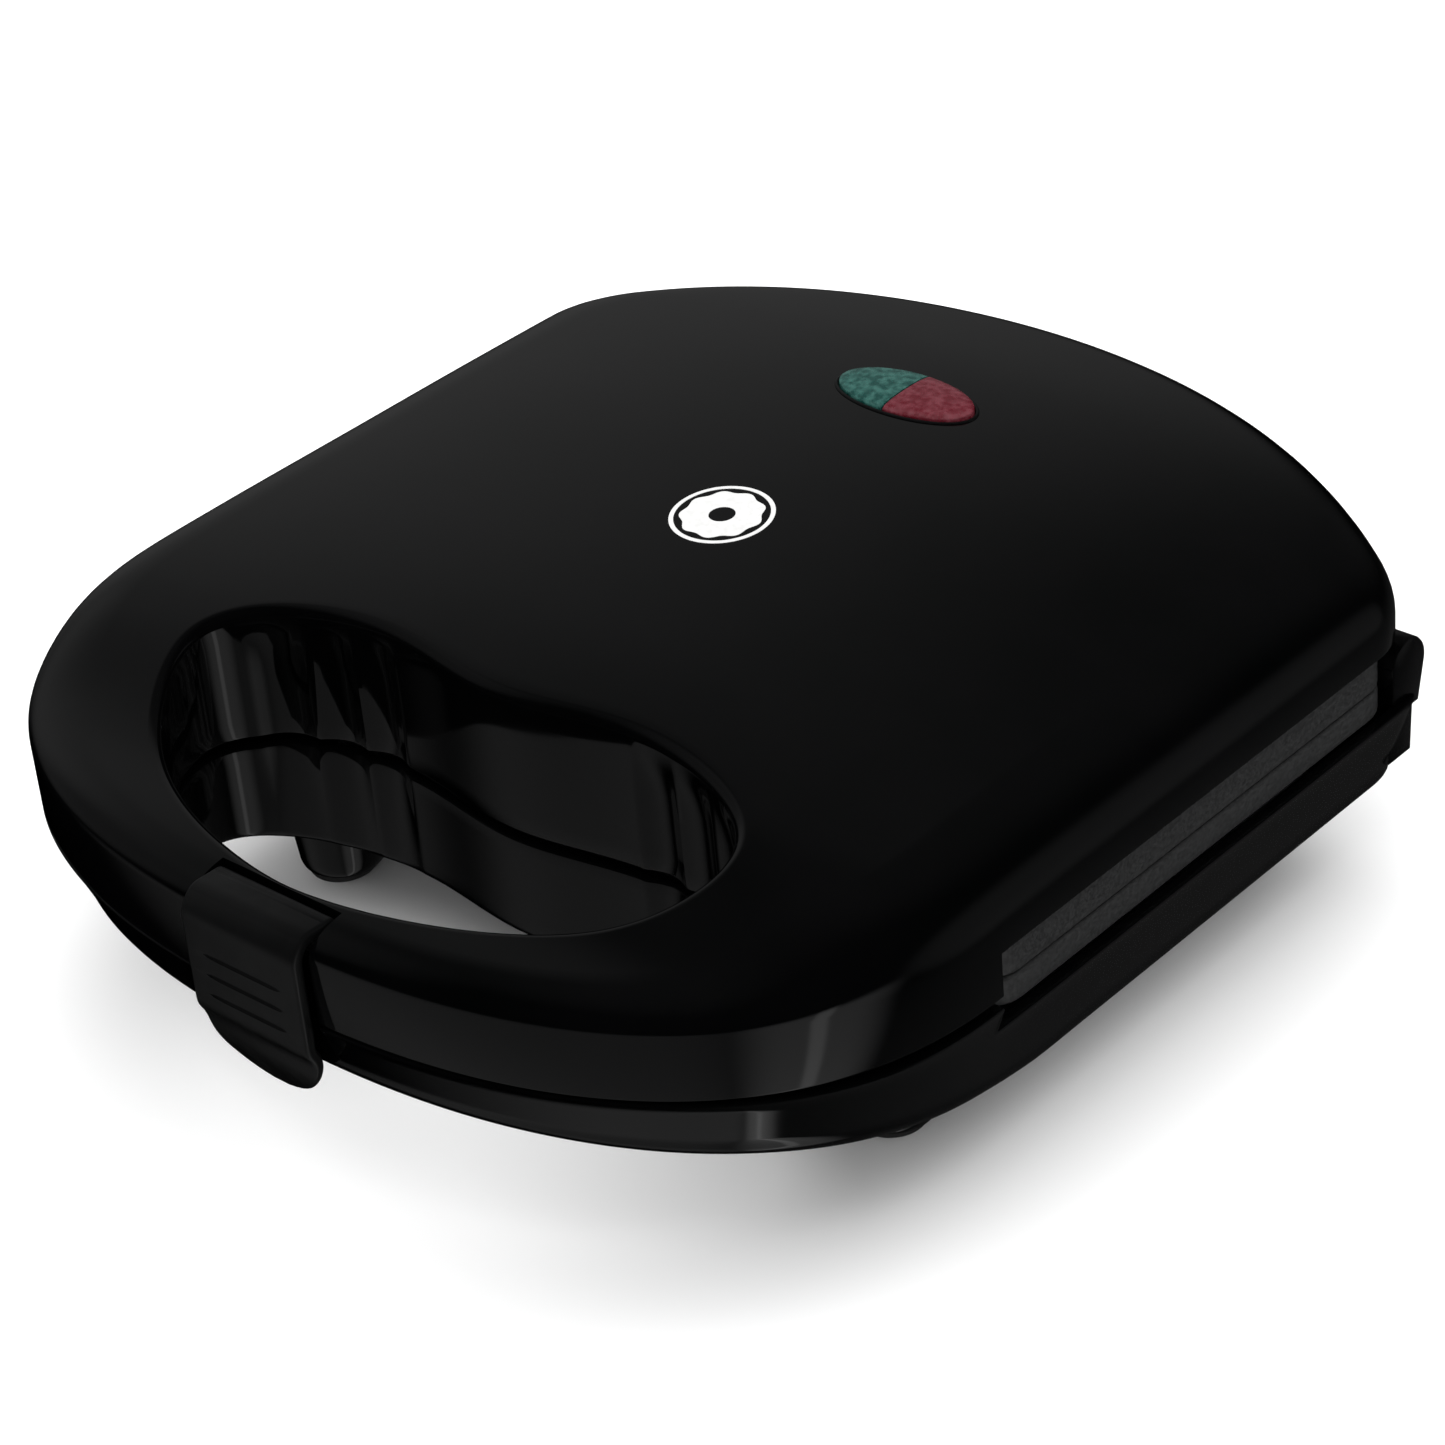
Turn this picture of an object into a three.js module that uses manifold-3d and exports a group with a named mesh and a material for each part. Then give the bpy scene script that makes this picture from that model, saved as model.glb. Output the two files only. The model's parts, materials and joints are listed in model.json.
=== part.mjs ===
// Compact clam-shell donut maker: a base and a hinged lid, each with a cast cooking plate that has
// six ring-shaped wells, and a swing-out latch on the front of the two-part loop handle.
// Millimetres, +Z up, +Y towards the hinge, -Y towards the handle, origin under the middle at foot level.
import * as THREE from 'three';
import { mergeVertices } from 'three/addons/utils/BufferGeometryUtils.js';
import Module from 'manifold-3d';

const wasm = await Module();
wasm.setup();

// ---------------------------------------------------------------- driving dimensions
// Y values below are measured from the front of the handle; the whole model is moved by -MID_Y at the end.
const HALF_WIDTH = 107.4;
const BODY_REAR = 239;
const MID_Y = 118.4;
const REAR_RADIUS = 158;
const BASE_REAR = 208;
const NOSE_DEPTH = 76;
const NOSE_POWER = 2.35;
const CORNER = 8;
const WALL = 2.4;
const GAP = 0.3;

// heights above the surface that the feet stand on
const SPLIT_Z = 46.3;
const LID_FRONT_Z = 47.1;
const LID_SKIRT_Z = 56;
const LID_EDGE_Z = 60.5;
const BASE_RIM_Z = 46.7;
const BASE_RIM_DROP = 1.8;
const BASE_WALL_Z = 38.5;
const BASE_FLOOR_Z = 18.1;
const BASE_FRONT_Z = 34.6;
const BASE_DRAFT = 0.264;
const BASE_ROUND = 3.6;
const BASE_CHAMFER = 1.1;
const STEP_Y = 74.5;

// lid surface heights along the middle and along the side shoulder, as [y, z]
const CREST = [[-12, 62], [7, 65.6], [30, 67.6], [52, 74.8], [66, 77.6], [90, 80.4], [126, 82.5], [165, 83.2],
  [200, 81.2], [228, 76.4], [250, 71]];
const SHOULDER = [[-12, 60.5], [7, 63.4], [30, 64.8], [52, 71.8], [66, 73.8], [90, 74.6], [126, 74.7],
  [165, 74.6], [200, 73.6], [228, 71], [250, 68]];
const SHOULDER_X = 91.4;
// underside of the base, rising from the floor to the handle, as [y, z]
const BELLY = [[-12, 35.2], [3, 33.8], [30, 29.4], [50, 25.3], [74, 20.5], [90, 18.3], [104, 18.1],
  [240, 18.1]];
const LID_FILLET = { front: 8, side: 16, rear: 12 };

// handle opening
const GRIP_HALF = 66.5;
const GRIP_Y = 50;
const GRIP_FRONT = 39.3;
const GRIP_BACK = 21;
const GRIP_BOW = 7;
const GRIP_BOW_SPREAD = 26;

// cooking plates and wells
const PLATE = { halfWidth: 104.2, front: 76.8, rear: 197.4, corner: 7, land: 3, rim: 3 };
const LOWER_RIM_Z = 40.2;
const UPPER_RIM_Z = 57.4;
const WELL = { pitchX: 62, pitchY: 56, ring: 18, section: 9.2, depth: 11.4, boss: 29.6, bossDepth: 14.2 };
const WELL_MID_Y = (PLATE.front + PLATE.rear) / 2;
const HALF_FACE_GAP = 0.15;
const PLATE_TOP_Z = SPLIT_Z + HALF_FACE_GAP + PLATE.land + GAP;
const PLATE_UNDER_Z = SPLIT_Z - HALF_FACE_GAP - PLATE.land - GAP;
const LOWER_BOSS_Z = SPLIT_Z - HALF_FACE_GAP - WELL.bossDepth;
const UPPER_BOSS_Z = SPLIT_Z + HALF_FACE_GAP + WELL.bossDepth;

// hinge, latch and lens
const HINGE = { y: 203.6, z: 45.6, barrel: 5.6, pin: 2, inner: 84, split: 93.7, outer: 103.6 };
const LATCH = { y: 5.6, z: 62.6, barrel: 3.1, pin: 1.2, half: 14.4, face: -2.3, tip: 27.6 };
const LENS = { y: 183.6, half: 16, depth: 7.7, dome: 1.9, body: 3.4 };
const HINGE_NECK_Z = 74;
const TOWER_FOOT_Z = 24;
const FOOT = { x: 71.8, front: 83.6, rear: 188, top: 11, bottom: 8.6, pad: 7.2, padHeight: 3 };
const FEET = [[-FOOT.x, FOOT.front, 'front_left'], [FOOT.x, FOOT.front, 'front_right'],
  [-FOOT.x, FOOT.rear, 'rear_left'], [FOOT.x, FOOT.rear, 'rear_right']];
const GLAND = { x: -84, z: 28.4, cord: 3.3, hole: 5.4, flange: 7.2 };
const VENT = { rows: [122, 152], columns: [-54, -18, 18, 54], halfLength: 12, halfWidth: 1.4 };

// screws, pins and the space round them
const SCREW_X = [-97, -31, 31, 97];
const POST_RADIUS = 4;
const SHAFT = 1.5;
const BORE = SHAFT + 0.25;
const SCREW_HEAD = { radius: 3.1, rim: 0.35, depth: 1.6, length: 16.7, slot: 2.2 };
const PIN_PLAY = 0.2;
const COVER_SCREW = { x: 40, y: 217, head: 3, bottom: 2.1, length: 9 };
const COVER_Z = LID_SKIRT_Z + 0.6;
const TURN = Math.PI * 2;
// block heights and widths that reach past the whole body, for cutting
const FAR = 150;
const UNDER = 0;
const ABOVE = 100;

// ---------------------------------------------------------------- solids and booleans
function toSolid(geometry) {
  const bare = geometry.clone();
  bare.deleteAttribute('normal');
  bare.deleteAttribute('uv');
  const merged = mergeVertices(bare, 1e-4);
  return new wasm.Manifold(new wasm.Mesh({
    numProp: 3,
    vertProperties: new Float32Array(merged.attributes.position.array),
    triVerts: new Uint32Array(merged.index.array),
  }));
}

function toGeometry(solid) {
  const mesh = solid.getMesh();
  const geometry = new THREE.BufferGeometry();
  geometry.setAttribute('position', new THREE.BufferAttribute(mesh.vertProperties.slice(), 3));
  geometry.setIndex(new THREE.BufferAttribute(mesh.triVerts.slice(), 1));
  geometry.computeVertexNormals();
  return geometry;
}

const join = (solids) => solids.reduce((sum, next) => sum.add(next));
const cut = (solid, tools) => tools.reduce((rest, tool) => rest.subtract(tool), solid);

// ---------------------------------------------------------------- basic shapes
function box(x0, x1, y0, y1, z0, z1) {
  const geometry = new THREE.BoxGeometry(x1 - x0, y1 - y0, z1 - z0);
  geometry.translate((x0 + x1) / 2, (y0 + y1) / 2, (z0 + z1) / 2);
  return toSolid(geometry);
}

function postZ(x, y, z0, z1, bottom, top = bottom, sides = 16) {
  const geometry = new THREE.CylinderGeometry(top, bottom, z1 - z0, sides);
  geometry.rotateX(Math.PI / 2);
  geometry.translate(x, y, (z0 + z1) / 2);
  return toSolid(geometry);
}

function rodX(x0, x1, y, z, radius, sides = 20) {
  const geometry = new THREE.CylinderGeometry(radius, radius, x1 - x0, sides);
  geometry.rotateZ(Math.PI / 2);
  geometry.translate((x0 + x1) / 2, y, z);
  return toSolid(geometry);
}

function rodY(x, y0, y1, z, radius, sides = 20) {
  const geometry = new THREE.CylinderGeometry(radius, radius, y1 - y0, sides);
  geometry.translate(x, (y0 + y1) / 2, z);
  return toSolid(geometry);
}

// an outline in plan, extruded between two heights
function prism(points, z0, z1) {
  const options = { depth: z1 - z0, bevelEnabled: false };
  const geometry = new THREE.ExtrudeGeometry(new THREE.Shape(points), options);
  geometry.translate(0, 0, z0);
  return toSolid(geometry);
}

// an outline in the YZ plane, extruded between two X positions
function sidePrism(points, x0, x1) {
  const options = { depth: x1 - x0, bevelEnabled: false };
  const geometry = new THREE.ExtrudeGeometry(new THREE.Shape(points), options);
  geometry.rotateX(Math.PI / 2);
  geometry.rotateZ(Math.PI / 2);
  geometry.translate(x0, 0, 0);
  return toSolid(geometry);
}

function roundedRectangle(x, y0, y1, radius, steps = 4) {
  const shape = new THREE.Shape();
  shape.moveTo(x, y0 + radius);
  shape.lineTo(x, y1 - radius);
  shape.absarc(x - radius, y1 - radius, radius, 0, Math.PI / 2);
  shape.lineTo(-x + radius, y1);
  shape.absarc(-x + radius, y1 - radius, radius, Math.PI / 2, Math.PI);
  shape.lineTo(-x, y0 + radius);
  shape.absarc(-x + radius, y0 + radius, radius, Math.PI, Math.PI * 1.5);
  shape.lineTo(x - radius, y0);
  shape.absarc(x - radius, y0 + radius, radius, Math.PI * 1.5, TURN);
  return shape.getPoints(steps);
}

function torusRing(x, y, z, ring, section, depth) {
  const profile = [];
  const steps = 8;
  for (let i = 0; i < steps; i += 1) {
    const a = (i / steps) * TURN;
    profile.push(new THREE.Vector2(ring + section * Math.cos(a), depth * Math.sin(a)));
  }
  profile.push(profile[0].clone());
  const geometry = new THREE.LatheGeometry(profile, 18);
  geometry.rotateX(Math.PI / 2);
  geometry.translate(x, y, z);
  return toSolid(geometry);
}

// a closed skin over rings of equal length, with a fan over each end
function loft(rings) {
  const count = rings[0].length;
  const middle = (ring) => ring.reduce((sum, p) => sum.add(p), new THREE.Vector3()).divideScalar(count);
  const points = [...rings.flat(), middle(rings[0]), middle(rings.at(-1))];
  const index = [];
  const first = rings.length * count;
  for (let i = 0; i < count; i += 1) {
    const next = (i + 1) % count;
    index.push(first, next, i);
    index.push(first + 1, first - count + i, first - count + next);
    for (let row = 0; row < rings.length - 1; row += 1) {
      const low = row * count;
      const high = low + count;
      index.push(low + i, low + next, high + next, low + i, high + next, high + i);
    }
  }
  const geometry = new THREE.BufferGeometry();
  const numbers = points.flatMap((p) => [p.x, p.y, p.z]);
  geometry.setAttribute('position', new THREE.Float32BufferAttribute(numbers, 3));
  geometry.setIndex(index);
  return toSolid(geometry);
}

// ---------------------------------------------------------------- outlines and surfaces
// smooth curve through [y, z] pairs
function height(profile, y) {
  let i = 0;
  while (i < profile.length - 2 && y > profile[i + 1][0]) i += 1;
  const slope = (k) => {
    const a = profile[Math.max(k - 1, 0)];
    const b = profile[Math.min(k + 1, profile.length - 1)];
    return (b[1] - a[1]) / (b[0] - a[0]);
  };
  const [y0, z0] = profile[i];
  const [y1, z1] = profile[i + 1];
  const span = y1 - y0;
  const t = THREE.MathUtils.clamp((y - y0) / span, 0, 1);
  const ease = t * t * (3 - 2 * t);
  const pull = span * t * (1 - t);
  return z0 + (z1 - z0) * ease + pull * ((1 - t) * slope(i) - t * slope(i + 1));
}

function lidSurface(x, y) {
  const low = height(SHOULDER, y);
  const across = Math.min(1, (x / SHOULDER_X) ** 2);
  return low + (height(CREST, y) - low) * (1 - across);
}

// plan outline, anticlockwise: right side, rear, left side, then the round nose
function bodyOutline(inset, rearLine) {
  const half = HALF_WIDTH - inset.side;
  const nose = NOSE_DEPTH - inset.front;
  const rearY = (x) => rearLine(x, inset.rear);
  const corner = new THREE.QuadraticBezierCurve(
    new THREE.Vector2(half, rearY(half) - CORNER),
    new THREE.Vector2(half, rearY(half)),
    new THREE.Vector2(half - CORNER, rearY(half - CORNER)),
  ).getPoints(4);
  const sideTop = rearY(half) - CORNER;
  const side = sideTop - NOSE_DEPTH;
  const right = [0, 0.25, 0.5, 0.75].map((t) => new THREE.Vector2(half, NOSE_DEPTH + side * t));
  const rear = [];
  for (let i = 1; i < 7; i += 1) {
    const x = (half - CORNER) * (1 - i / 7);
    rear.push(new THREE.Vector2(x, rearY(x)));
  }
  const rightHalf = [...right, ...corner, ...rear];
  const leftHalf = rightHalf.map((p) => new THREE.Vector2(-p.x, p.y)).reverse();
  const front = [];
  for (let i = 1; i < 20; i += 1) {
    const a = Math.PI * (1 + i / 20);
    const x = Math.sign(Math.cos(a)) * half * Math.abs(Math.cos(a)) ** (2 / NOSE_POWER);
    front.push(new THREE.Vector2(x, NOSE_DEPTH - nose * Math.abs(Math.sin(a)) ** (2 / NOSE_POWER)));
  }
  return [...rightHalf, new THREE.Vector2(0, rearY(0)), ...leftHalf, ...front];
}

const arcRear = (x, inset) => BODY_REAR - REAR_RADIUS + Math.sqrt((REAR_RADIUS - inset) ** 2 - x ** 2);
const flatRear = (x, inset) => BASE_REAR - inset;
const evenInset = (value) => ({ front: value, side: value, rear: value });
const mixInset = (a, b, t) => ({
  front: a.front + (b.front - a.front) * t,
  side: a.side + (b.side - a.side) * t,
  rear: a.rear + (b.rear - a.rear) * t,
});
const growInset = (inset, extra) => mixInset(inset, { front: inset.front + 1, side: inset.side + 1,
  rear: inset.rear + 1 }, extra);
const ring = (inset, rearLine, zAt) => bodyOutline(inset, rearLine).map((p) => new THREE.Vector3(p.x, p.y,
  zAt(p.x, p.y)));

// the D-shaped hole between the handle and the body, grown outwards by a wall
function gripOutline(grow) {
  const points = [];
  const half = GRIP_HALF + grow;
  for (let i = 0; i < 32; i += 1) {
    const a = (i / 32) * TURN;
    const c = Math.cos(a);
    const x = Math.sign(c) * half * Math.abs(c) ** 0.9;
    const u = Math.min(1, Math.abs(x / half));
    const front = GRIP_Y - (GRIP_FRONT + grow) * (1 - u ** 1.75) ** (1 / 1.75);
    const bow = GRIP_BOW * Math.exp(-((x / GRIP_BOW_SPREAD) ** 2));
    const back = GRIP_Y + (GRIP_BACK + grow) * (1 - u ** 2.6) ** (1 / 2.2) - bow;
    points.push(new THREE.Vector2(x, Math.sin(a) < 0 ? front : Math.max(back, GRIP_Y)));
  }
  return points;
}

// ---------------------------------------------------------------- housings
const DEEP_TOP = { front: 73, side: 90, rear: 100 };

function lidBlock(wall, bottom, filletSteps, topSteps) {
  const shell = evenInset(wall);
  const fillet = { front: LID_FILLET.front, side: LID_FILLET.side, rear: LID_FILLET.rear };
  const roof = (x, y) => lidSurface(x, y) - wall;
  const rings = [ring(shell, arcRear, () => bottom)];
  for (const s of filletSteps) {
    const rise = Math.sqrt(1 - (1 - s) ** 2);
    const turning = (x, y) => LID_EDGE_Z + (roof(x, y) - LID_EDGE_Z) * rise;
    rings.push(ring(mixInset(shell, fillet, s), arcRear, turning));
  }
  for (const t of topSteps) rings.push(ring(mixInset(fillet, DEEP_TOP, t), arcRear, roof));
  return loft(rings);
}

function baseBlock(wall, top, wallSteps, floorSteps) {
  const foot = {
    front: (BASE_RIM_Z - BASE_FRONT_Z) * BASE_DRAFT,
    side: (BASE_RIM_Z - BASE_FLOOR_Z) * BASE_DRAFT,
    rear: 1,
  };
  const belly = (x, y) => height(BELLY, y) + wall;
  const brim = (y) => BASE_RIM_Z - BASE_RIM_DROP * THREE.MathUtils.smoothstep(y, 8, 60);
  const rings = floorSteps.map((t) => ring(mixInset(foot, DEEP_TOP, t), flatRear, belly));
  rings.push(ring(growInset(foot, wall + BASE_ROUND), flatRear, belly));
  const chamfer = (x, y) => belly(x, y) + BASE_CHAMFER;
  rings.push(ring(growInset(foot, wall + BASE_CHAMFER), flatRear, chamfer));
  for (const f of wallSteps) {
    const inset = growInset(mixInset(foot, evenInset(0), f), wall);
    const climbing = (x, y) => THREE.MathUtils.lerp(belly(x, y) + BASE_ROUND, top ?? brim(y), f);
    rings.push(ring(inset, flatRear, climbing));
  }
  return loft(rings);
}

function screwPosts(z0, z1) {
  return join(SCREW_X.map((x) => postZ(x, WELL_MID_Y, z0, z1, POST_RADIUS, POST_RADIUS, 12)));
}

function screwBores(z0, z1) {
  return join(SCREW_X.map((x) => postZ(x, WELL_MID_Y, z0, z1, BORE, BORE, 10)));
}

const RECESS_Y = 3;
// room for the latch in the front of the handle
function latchRecess() {
  const side = LATCH.half + 2 * GAP;
  const around = LATCH.barrel + 0.5;
  return join([
    box(-side, side, -FAR, RECESS_Y, UNDER, LATCH.z),
    box(-side, side, -FAR, LATCH.y, LATCH.z - 1.5, ABOVE),
    rodX(-side, side, LATCH.y, LATCH.z, around, 20),
    box(-side, side, LATCH.y - 1, LATCH.y + around, LATCH.z, ABOVE),
  ]);
}

const SOLID_HALF = 19;
const latchCore = () => box(-SOLID_HALF, SOLID_HALF, -FAR, 20, UNDER, ABOVE);

function hingeLug(side) {
  const x0 = Math.min(side * HINGE.inner, side * (HINGE.split - GAP));
  const x1 = Math.max(side * HINGE.inner, side * (HINGE.split - GAP));
  return join([
    rodX(x0, x1, HINGE.y, HINGE.z, HINGE.barrel - 0.2, 16),
    box(x0, x1, HINGE.y - 4, HINGE.y + 4.4, HINGE.z, HINGE_NECK_Z),
  ]);
}

function hingeTower(side) {
  const x0 = Math.min(side * (HINGE.split + GAP), side * HINGE.outer);
  const x1 = Math.max(side * (HINGE.split + GAP), side * HINGE.outer);
  return join([
    rodX(x0, x1, HINGE.y, HINGE.z, HINGE.barrel, 16),
    box(x0, x1 - (side > 0 ? 2 : 0), HINGE.y - 4, BASE_REAR - 0.6, TOWER_FOOT_Z, HINGE.z),
    box(x0 + (side < 0 ? 2 : 0), x1, HINGE.y - 4.5, BASE_REAR - 1, TOWER_FOOT_Z + 12, HINGE.z),
  ]);
}

const lensShape = (grow, z0, z1) => {
  const geometry = new THREE.CylinderGeometry(1, 1, z1 - z0, 32);
  geometry.rotateX(Math.PI / 2);
  geometry.scale(LENS.half + grow, LENS.depth + grow, 1);
  geometry.translate(0, LENS.y, (z0 + z1) / 2);
  return toSolid(geometry);
};

// bores for the two hinge pins, from inside to outside of one hinge ear
function pinBores(x0, x1) {
  return join([-1, 1].map((s) => rodX(Math.min(s * x0, s * x1), Math.max(s * x0, s * x1), HINGE.y, HINGE.z,
    HINGE.pin + PIN_PLAY, 12)));
}

function lidHousing() {
  const outer = lidBlock(0, LID_FRONT_Z, [0, 0.12, 0.35, 0.65, 1], [0.1, 0.22, 0.36, 0.52, 0.75, 1]);
  const tube = prism(gripOutline(WALL), UNDER, ABOVE);
  const hollow = cut(lidBlock(WALL, UNDER, [0, 0.3, 1], [0.24, 0.5, 1]), [tube, latchCore()]);
  const fittings = join([screwPosts(PLATE_TOP_Z, ABOVE), hingeLug(-1), hingeLug(1)]);
  const roof = lidBlock(WALL / 2, UNDER, [0, 0.3, 1], [0.24, 0.5, 1]);
  const shell = cut(outer, [hollow, box(-FAR, FAR, STEP_Y, 2 * FAR, UNDER, LID_SKIRT_Z)]);
  return cut(shell.add(fittings.intersect(roof)), [
    prism(gripOutline(0), UNDER, ABOVE),
    latchRecess(),
    rodX(-SOLID_HALF + 1.6, SOLID_HALF - 1.6, LATCH.y, LATCH.z, LATCH.pin + PIN_PLAY, 12),
    screwBores(PLATE_TOP_Z - 1, 66),
    lensShape(GAP, LID_EDGE_Z, ABOVE),
    pinBores(HINGE.inner + 2, HINGE.split + 1),
  ]);
}

function floorVents() {
  const slots = [];
  const { rows, columns, halfLength, halfWidth } = VENT;
  for (const y of rows) {
    for (const x of columns) {
      slots.push(box(x - halfLength, x + halfLength, y - halfWidth, y + halfWidth, UNDER,
        BASE_FLOOR_Z + 2 * WALL));
    }
  }
  return join(slots);
}

function baseHousing() {
  const outer = baseBlock(0, null, [0, 0.5, 1], [1, 0.62, 0.34, 0.14]);
  const tube = prism(gripOutline(WALL), UNDER, ABOVE);
  const hollow = cut(baseBlock(WALL, 52, [0, 1], [1, 0.5, 0.24]), [tube, latchCore()]);
  const shell = cut(outer, [hollow, box(-FAR, FAR, STEP_Y, 2 * FAR, BASE_WALL_Z, ABOVE)]);
  const posts = screwPosts(BASE_FLOOR_Z + 1, PLATE_UNDER_Z).intersect(outer);
  const feet = join(FEET.map(([x, y]) => postZ(x, y, FOOT.padHeight - 1.2, 24.5, FOOT.bottom, FOOT.top, 16)));
  const feetBelow = cut(feet, [hollow]);
  const seat = FOOT.pad + GAP;
  const padSeats = FEET.map(([x, y]) => postZ(x, y, UNDER, FOOT.padHeight, seat, seat, 16));
  return cut(join([shell, posts, feetBelow, hingeTower(-1), hingeTower(1)]), [
    prism(gripOutline(0), UNDER, ABOVE),
    latchRecess(),
    screwBores(BASE_FLOOR_Z + 3, ABOVE),
    floorVents(),
    rodY(GLAND.x, BASE_REAR - 8, BASE_REAR + 4, GLAND.z, GLAND.hole + GAP, 16),
    join(padSeats),
    pinBores(HINGE.split - 2, HINGE.outer - 1.2),
  ]);
}

// ---------------------------------------------------------------- cooking plates
const WELLS = [];
for (const row of [-0.5, 0.5]) {
  for (const column of [-1, 0, 1]) WELLS.push([column * WELL.pitchX, WELL_MID_Y + row * WELL.pitchY]);
}

// facing: +1 for the lower plate, whose wells open upwards, -1 for the upper plate
function cookingPlate(facing, rimZ) {
  const face = SPLIT_Z - facing * HALF_FACE_GAP;
  const back = face - facing * PLATE.land;
  const span = (a, b) => [Math.min(a, b), Math.max(a, b)];
  const outline = roundedRectangle(PLATE.halfWidth, PLATE.front, PLATE.rear, PLATE.corner);
  const inner = roundedRectangle(PLATE.halfWidth - PLATE.rim, PLATE.front + PLATE.rim, PLATE.rear - PLATE.rim,
    PLATE.corner - PLATE.rim);
  const slab = cut(prism(outline, ...span(face, rimZ)), [prism(inner, ...span(back, rimZ - facing * 1))]);
  const bottom = face - facing * WELL.bossDepth;
  const bosses = WELLS.map(([x, y]) => {
    const [z0, z1] = span(bottom, face - facing * 0.5);
    const narrow = WELL.boss - 2.4;
    return facing > 0 ? postZ(x, y, z0, z1, narrow, WELL.boss, 18)
      : postZ(x, y, z0, z1, WELL.boss, narrow, 18);
  });
  const grooves = WELLS.map(([x, y]) => torusRing(x, y, face, WELL.ring, WELL.section, WELL.depth));
  const heads = SCREW_X.map((x) => {
    const [z0, z1] = span(face - facing * 2.4, face + facing * 0.2);
    const [narrow, wide] = [2.1, 4.4];
    return facing > 0 ? postZ(x, WELL_MID_Y, z0, z1, narrow, wide, 12)
      : postZ(x, WELL_MID_Y, z0, z1, wide, narrow, 12);
  });
  return cut(join([slab, ...bosses]), [...grooves, ...heads, screwBores(face - 12, face + 12)]);
}

// countersunk screw with its head in the plate's face
function plateScrew(x, facing) {
  const face = SPLIT_Z - facing * HALF_FACE_GAP;
  const flush = face - facing * 0.25;
  const { radius, rim, depth, length, slot } = SCREW_HEAD;
  const tip = length - 1.1;
  const profile = [[0, 0], [radius, 0], [radius, rim], [SHAFT, depth], [SHAFT, tip], [0.6, length],
    [0, length]];
  const head = new THREE.LatheGeometry(profile.map(([r, z]) => new THREE.Vector2(r, z)), 10);
  head.rotateX(facing > 0 ? -Math.PI / 2 : Math.PI / 2);
  head.translate(x, WELL_MID_Y, flush);
  const y = WELL_MID_Y;
  const along = box(x - slot, x + slot, y - rim, y + rim, flush - 0.6, flush + 0.6);
  const across = box(x - rim, x + rim, y - slot, y + slot, flush - 0.6, flush + 0.6);
  return cut(toSolid(head), [along, across]);
}

// ---------------------------------------------------------------- heating parts
const ELEMENT_RADIUS = 3;
const SHEET = 0.8;
function heatingElement(z) {
  const rear = PLATE.rear - 8;
  const half = [[34, rear], [64, rear], [82, rear - 12], [84, WELL_MID_Y], [80, PLATE.front + 20],
    [58, PLATE.front + 10]];
  const left = half.map(([x, y]) => [-x, y, z]);
  const right = half.map(([x, y]) => [x, y, z]).reverse();
  const route = [...left, [0, PLATE.front + 9, z], ...right];
  const path = new THREE.CatmullRomCurve3(route.map((p) => new THREE.Vector3(...p)), false, 'centripetal');
  const section = new THREE.Shape();
  section.absarc(0, 0, ELEMENT_RADIUS, 0, TURN);
  const options = { steps: 36, extrudePath: path, curveSegments: 4, bevelEnabled: false };
  return toSolid(new THREE.ExtrudeGeometry(section, options));
}

// pressed tray; floorZ is its closed side, edgeZ its open side
function heatShield(floorZ, edgeZ) {
  const sheet = Math.sign(edgeZ - floorZ) * SHEET;
  const [low, high] = [Math.min(floorZ, edgeZ), Math.max(floorZ, edgeZ)];
  const tray = (thin) => roundedRectangle(90 - thin, PLATE.front + 16 + thin, PLATE.rear - 2 - thin,
    8 - thin);
  const outer = tray(0);
  const inner = tray(SHEET);
  const [z0, z1] = [Math.min(floorZ + sheet, edgeZ + sheet), Math.max(floorZ + sheet, edgeZ + sheet)];
  const holes = [-31, 31].map((x) => postZ(x, WELL_MID_Y, low - 2, high + 2, 4.6, 4.6, 12));
  return cut(prism(outer, low, high), [prism(inner, z0, z1), ...holes]);
}

const LOWER_TRAY_Z = BASE_FLOOR_Z + WALL + 1.4;
const UPPER_TRAY_Z = 70;
const TRAY_EDGE = 2.4;

function thermostat() {
  const y = WELL_MID_Y;
  const cap = postZ(0, y, LOWER_BOSS_Z - 3.2, LOWER_BOSS_Z - GAP, 8, 8, 20);
  const body = postZ(0, y, LOWER_BOSS_Z - 6.4, LOWER_BOSS_Z - 3.2, 6.4, 6.4, 20);
  const tabs = join([-1, 1].map((s) => box(s * 7.4 - 2.8, s * 7.4 + 2.8, y - 1.5, y + 1.5, LOWER_BOSS_Z - 5,
    LOWER_BOSS_Z - 4.2)));
  return join([cap, body, tabs]);
}

function thermostatBracket() {
  const z = LOWER_BOSS_Z - 7.6;
  const strap = box(-5, 5, WELL_MID_Y - 17, WELL_MID_Y + 17, z, z + SHEET);
  const legs = [-1, 1].map((s) => box(-5, 5, WELL_MID_Y + s * 16.5 - 0.5, WELL_MID_Y + s * 16.5 + 0.5, z,
    LOWER_BOSS_Z - GAP));
  return join([strap, ...legs]);
}

function thermalFuse() {
  const barrel = rodX(52, 66, WELL_MID_Y, 27.6, 2, 12);
  const leads = rodX(44, 74, WELL_MID_Y, 27.6, 0.6, 8);
  return barrel.add(leads);
}

function terminalBlock() {
  const block = box(-66, -42, 197, 203.4, 23.6, 32);
  const wells = [-60, -54, -48].map((x) => postZ(x, 200.2, 28, 34, 1.7, 1.7, 10));
  return cut(block, wells);
}

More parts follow.
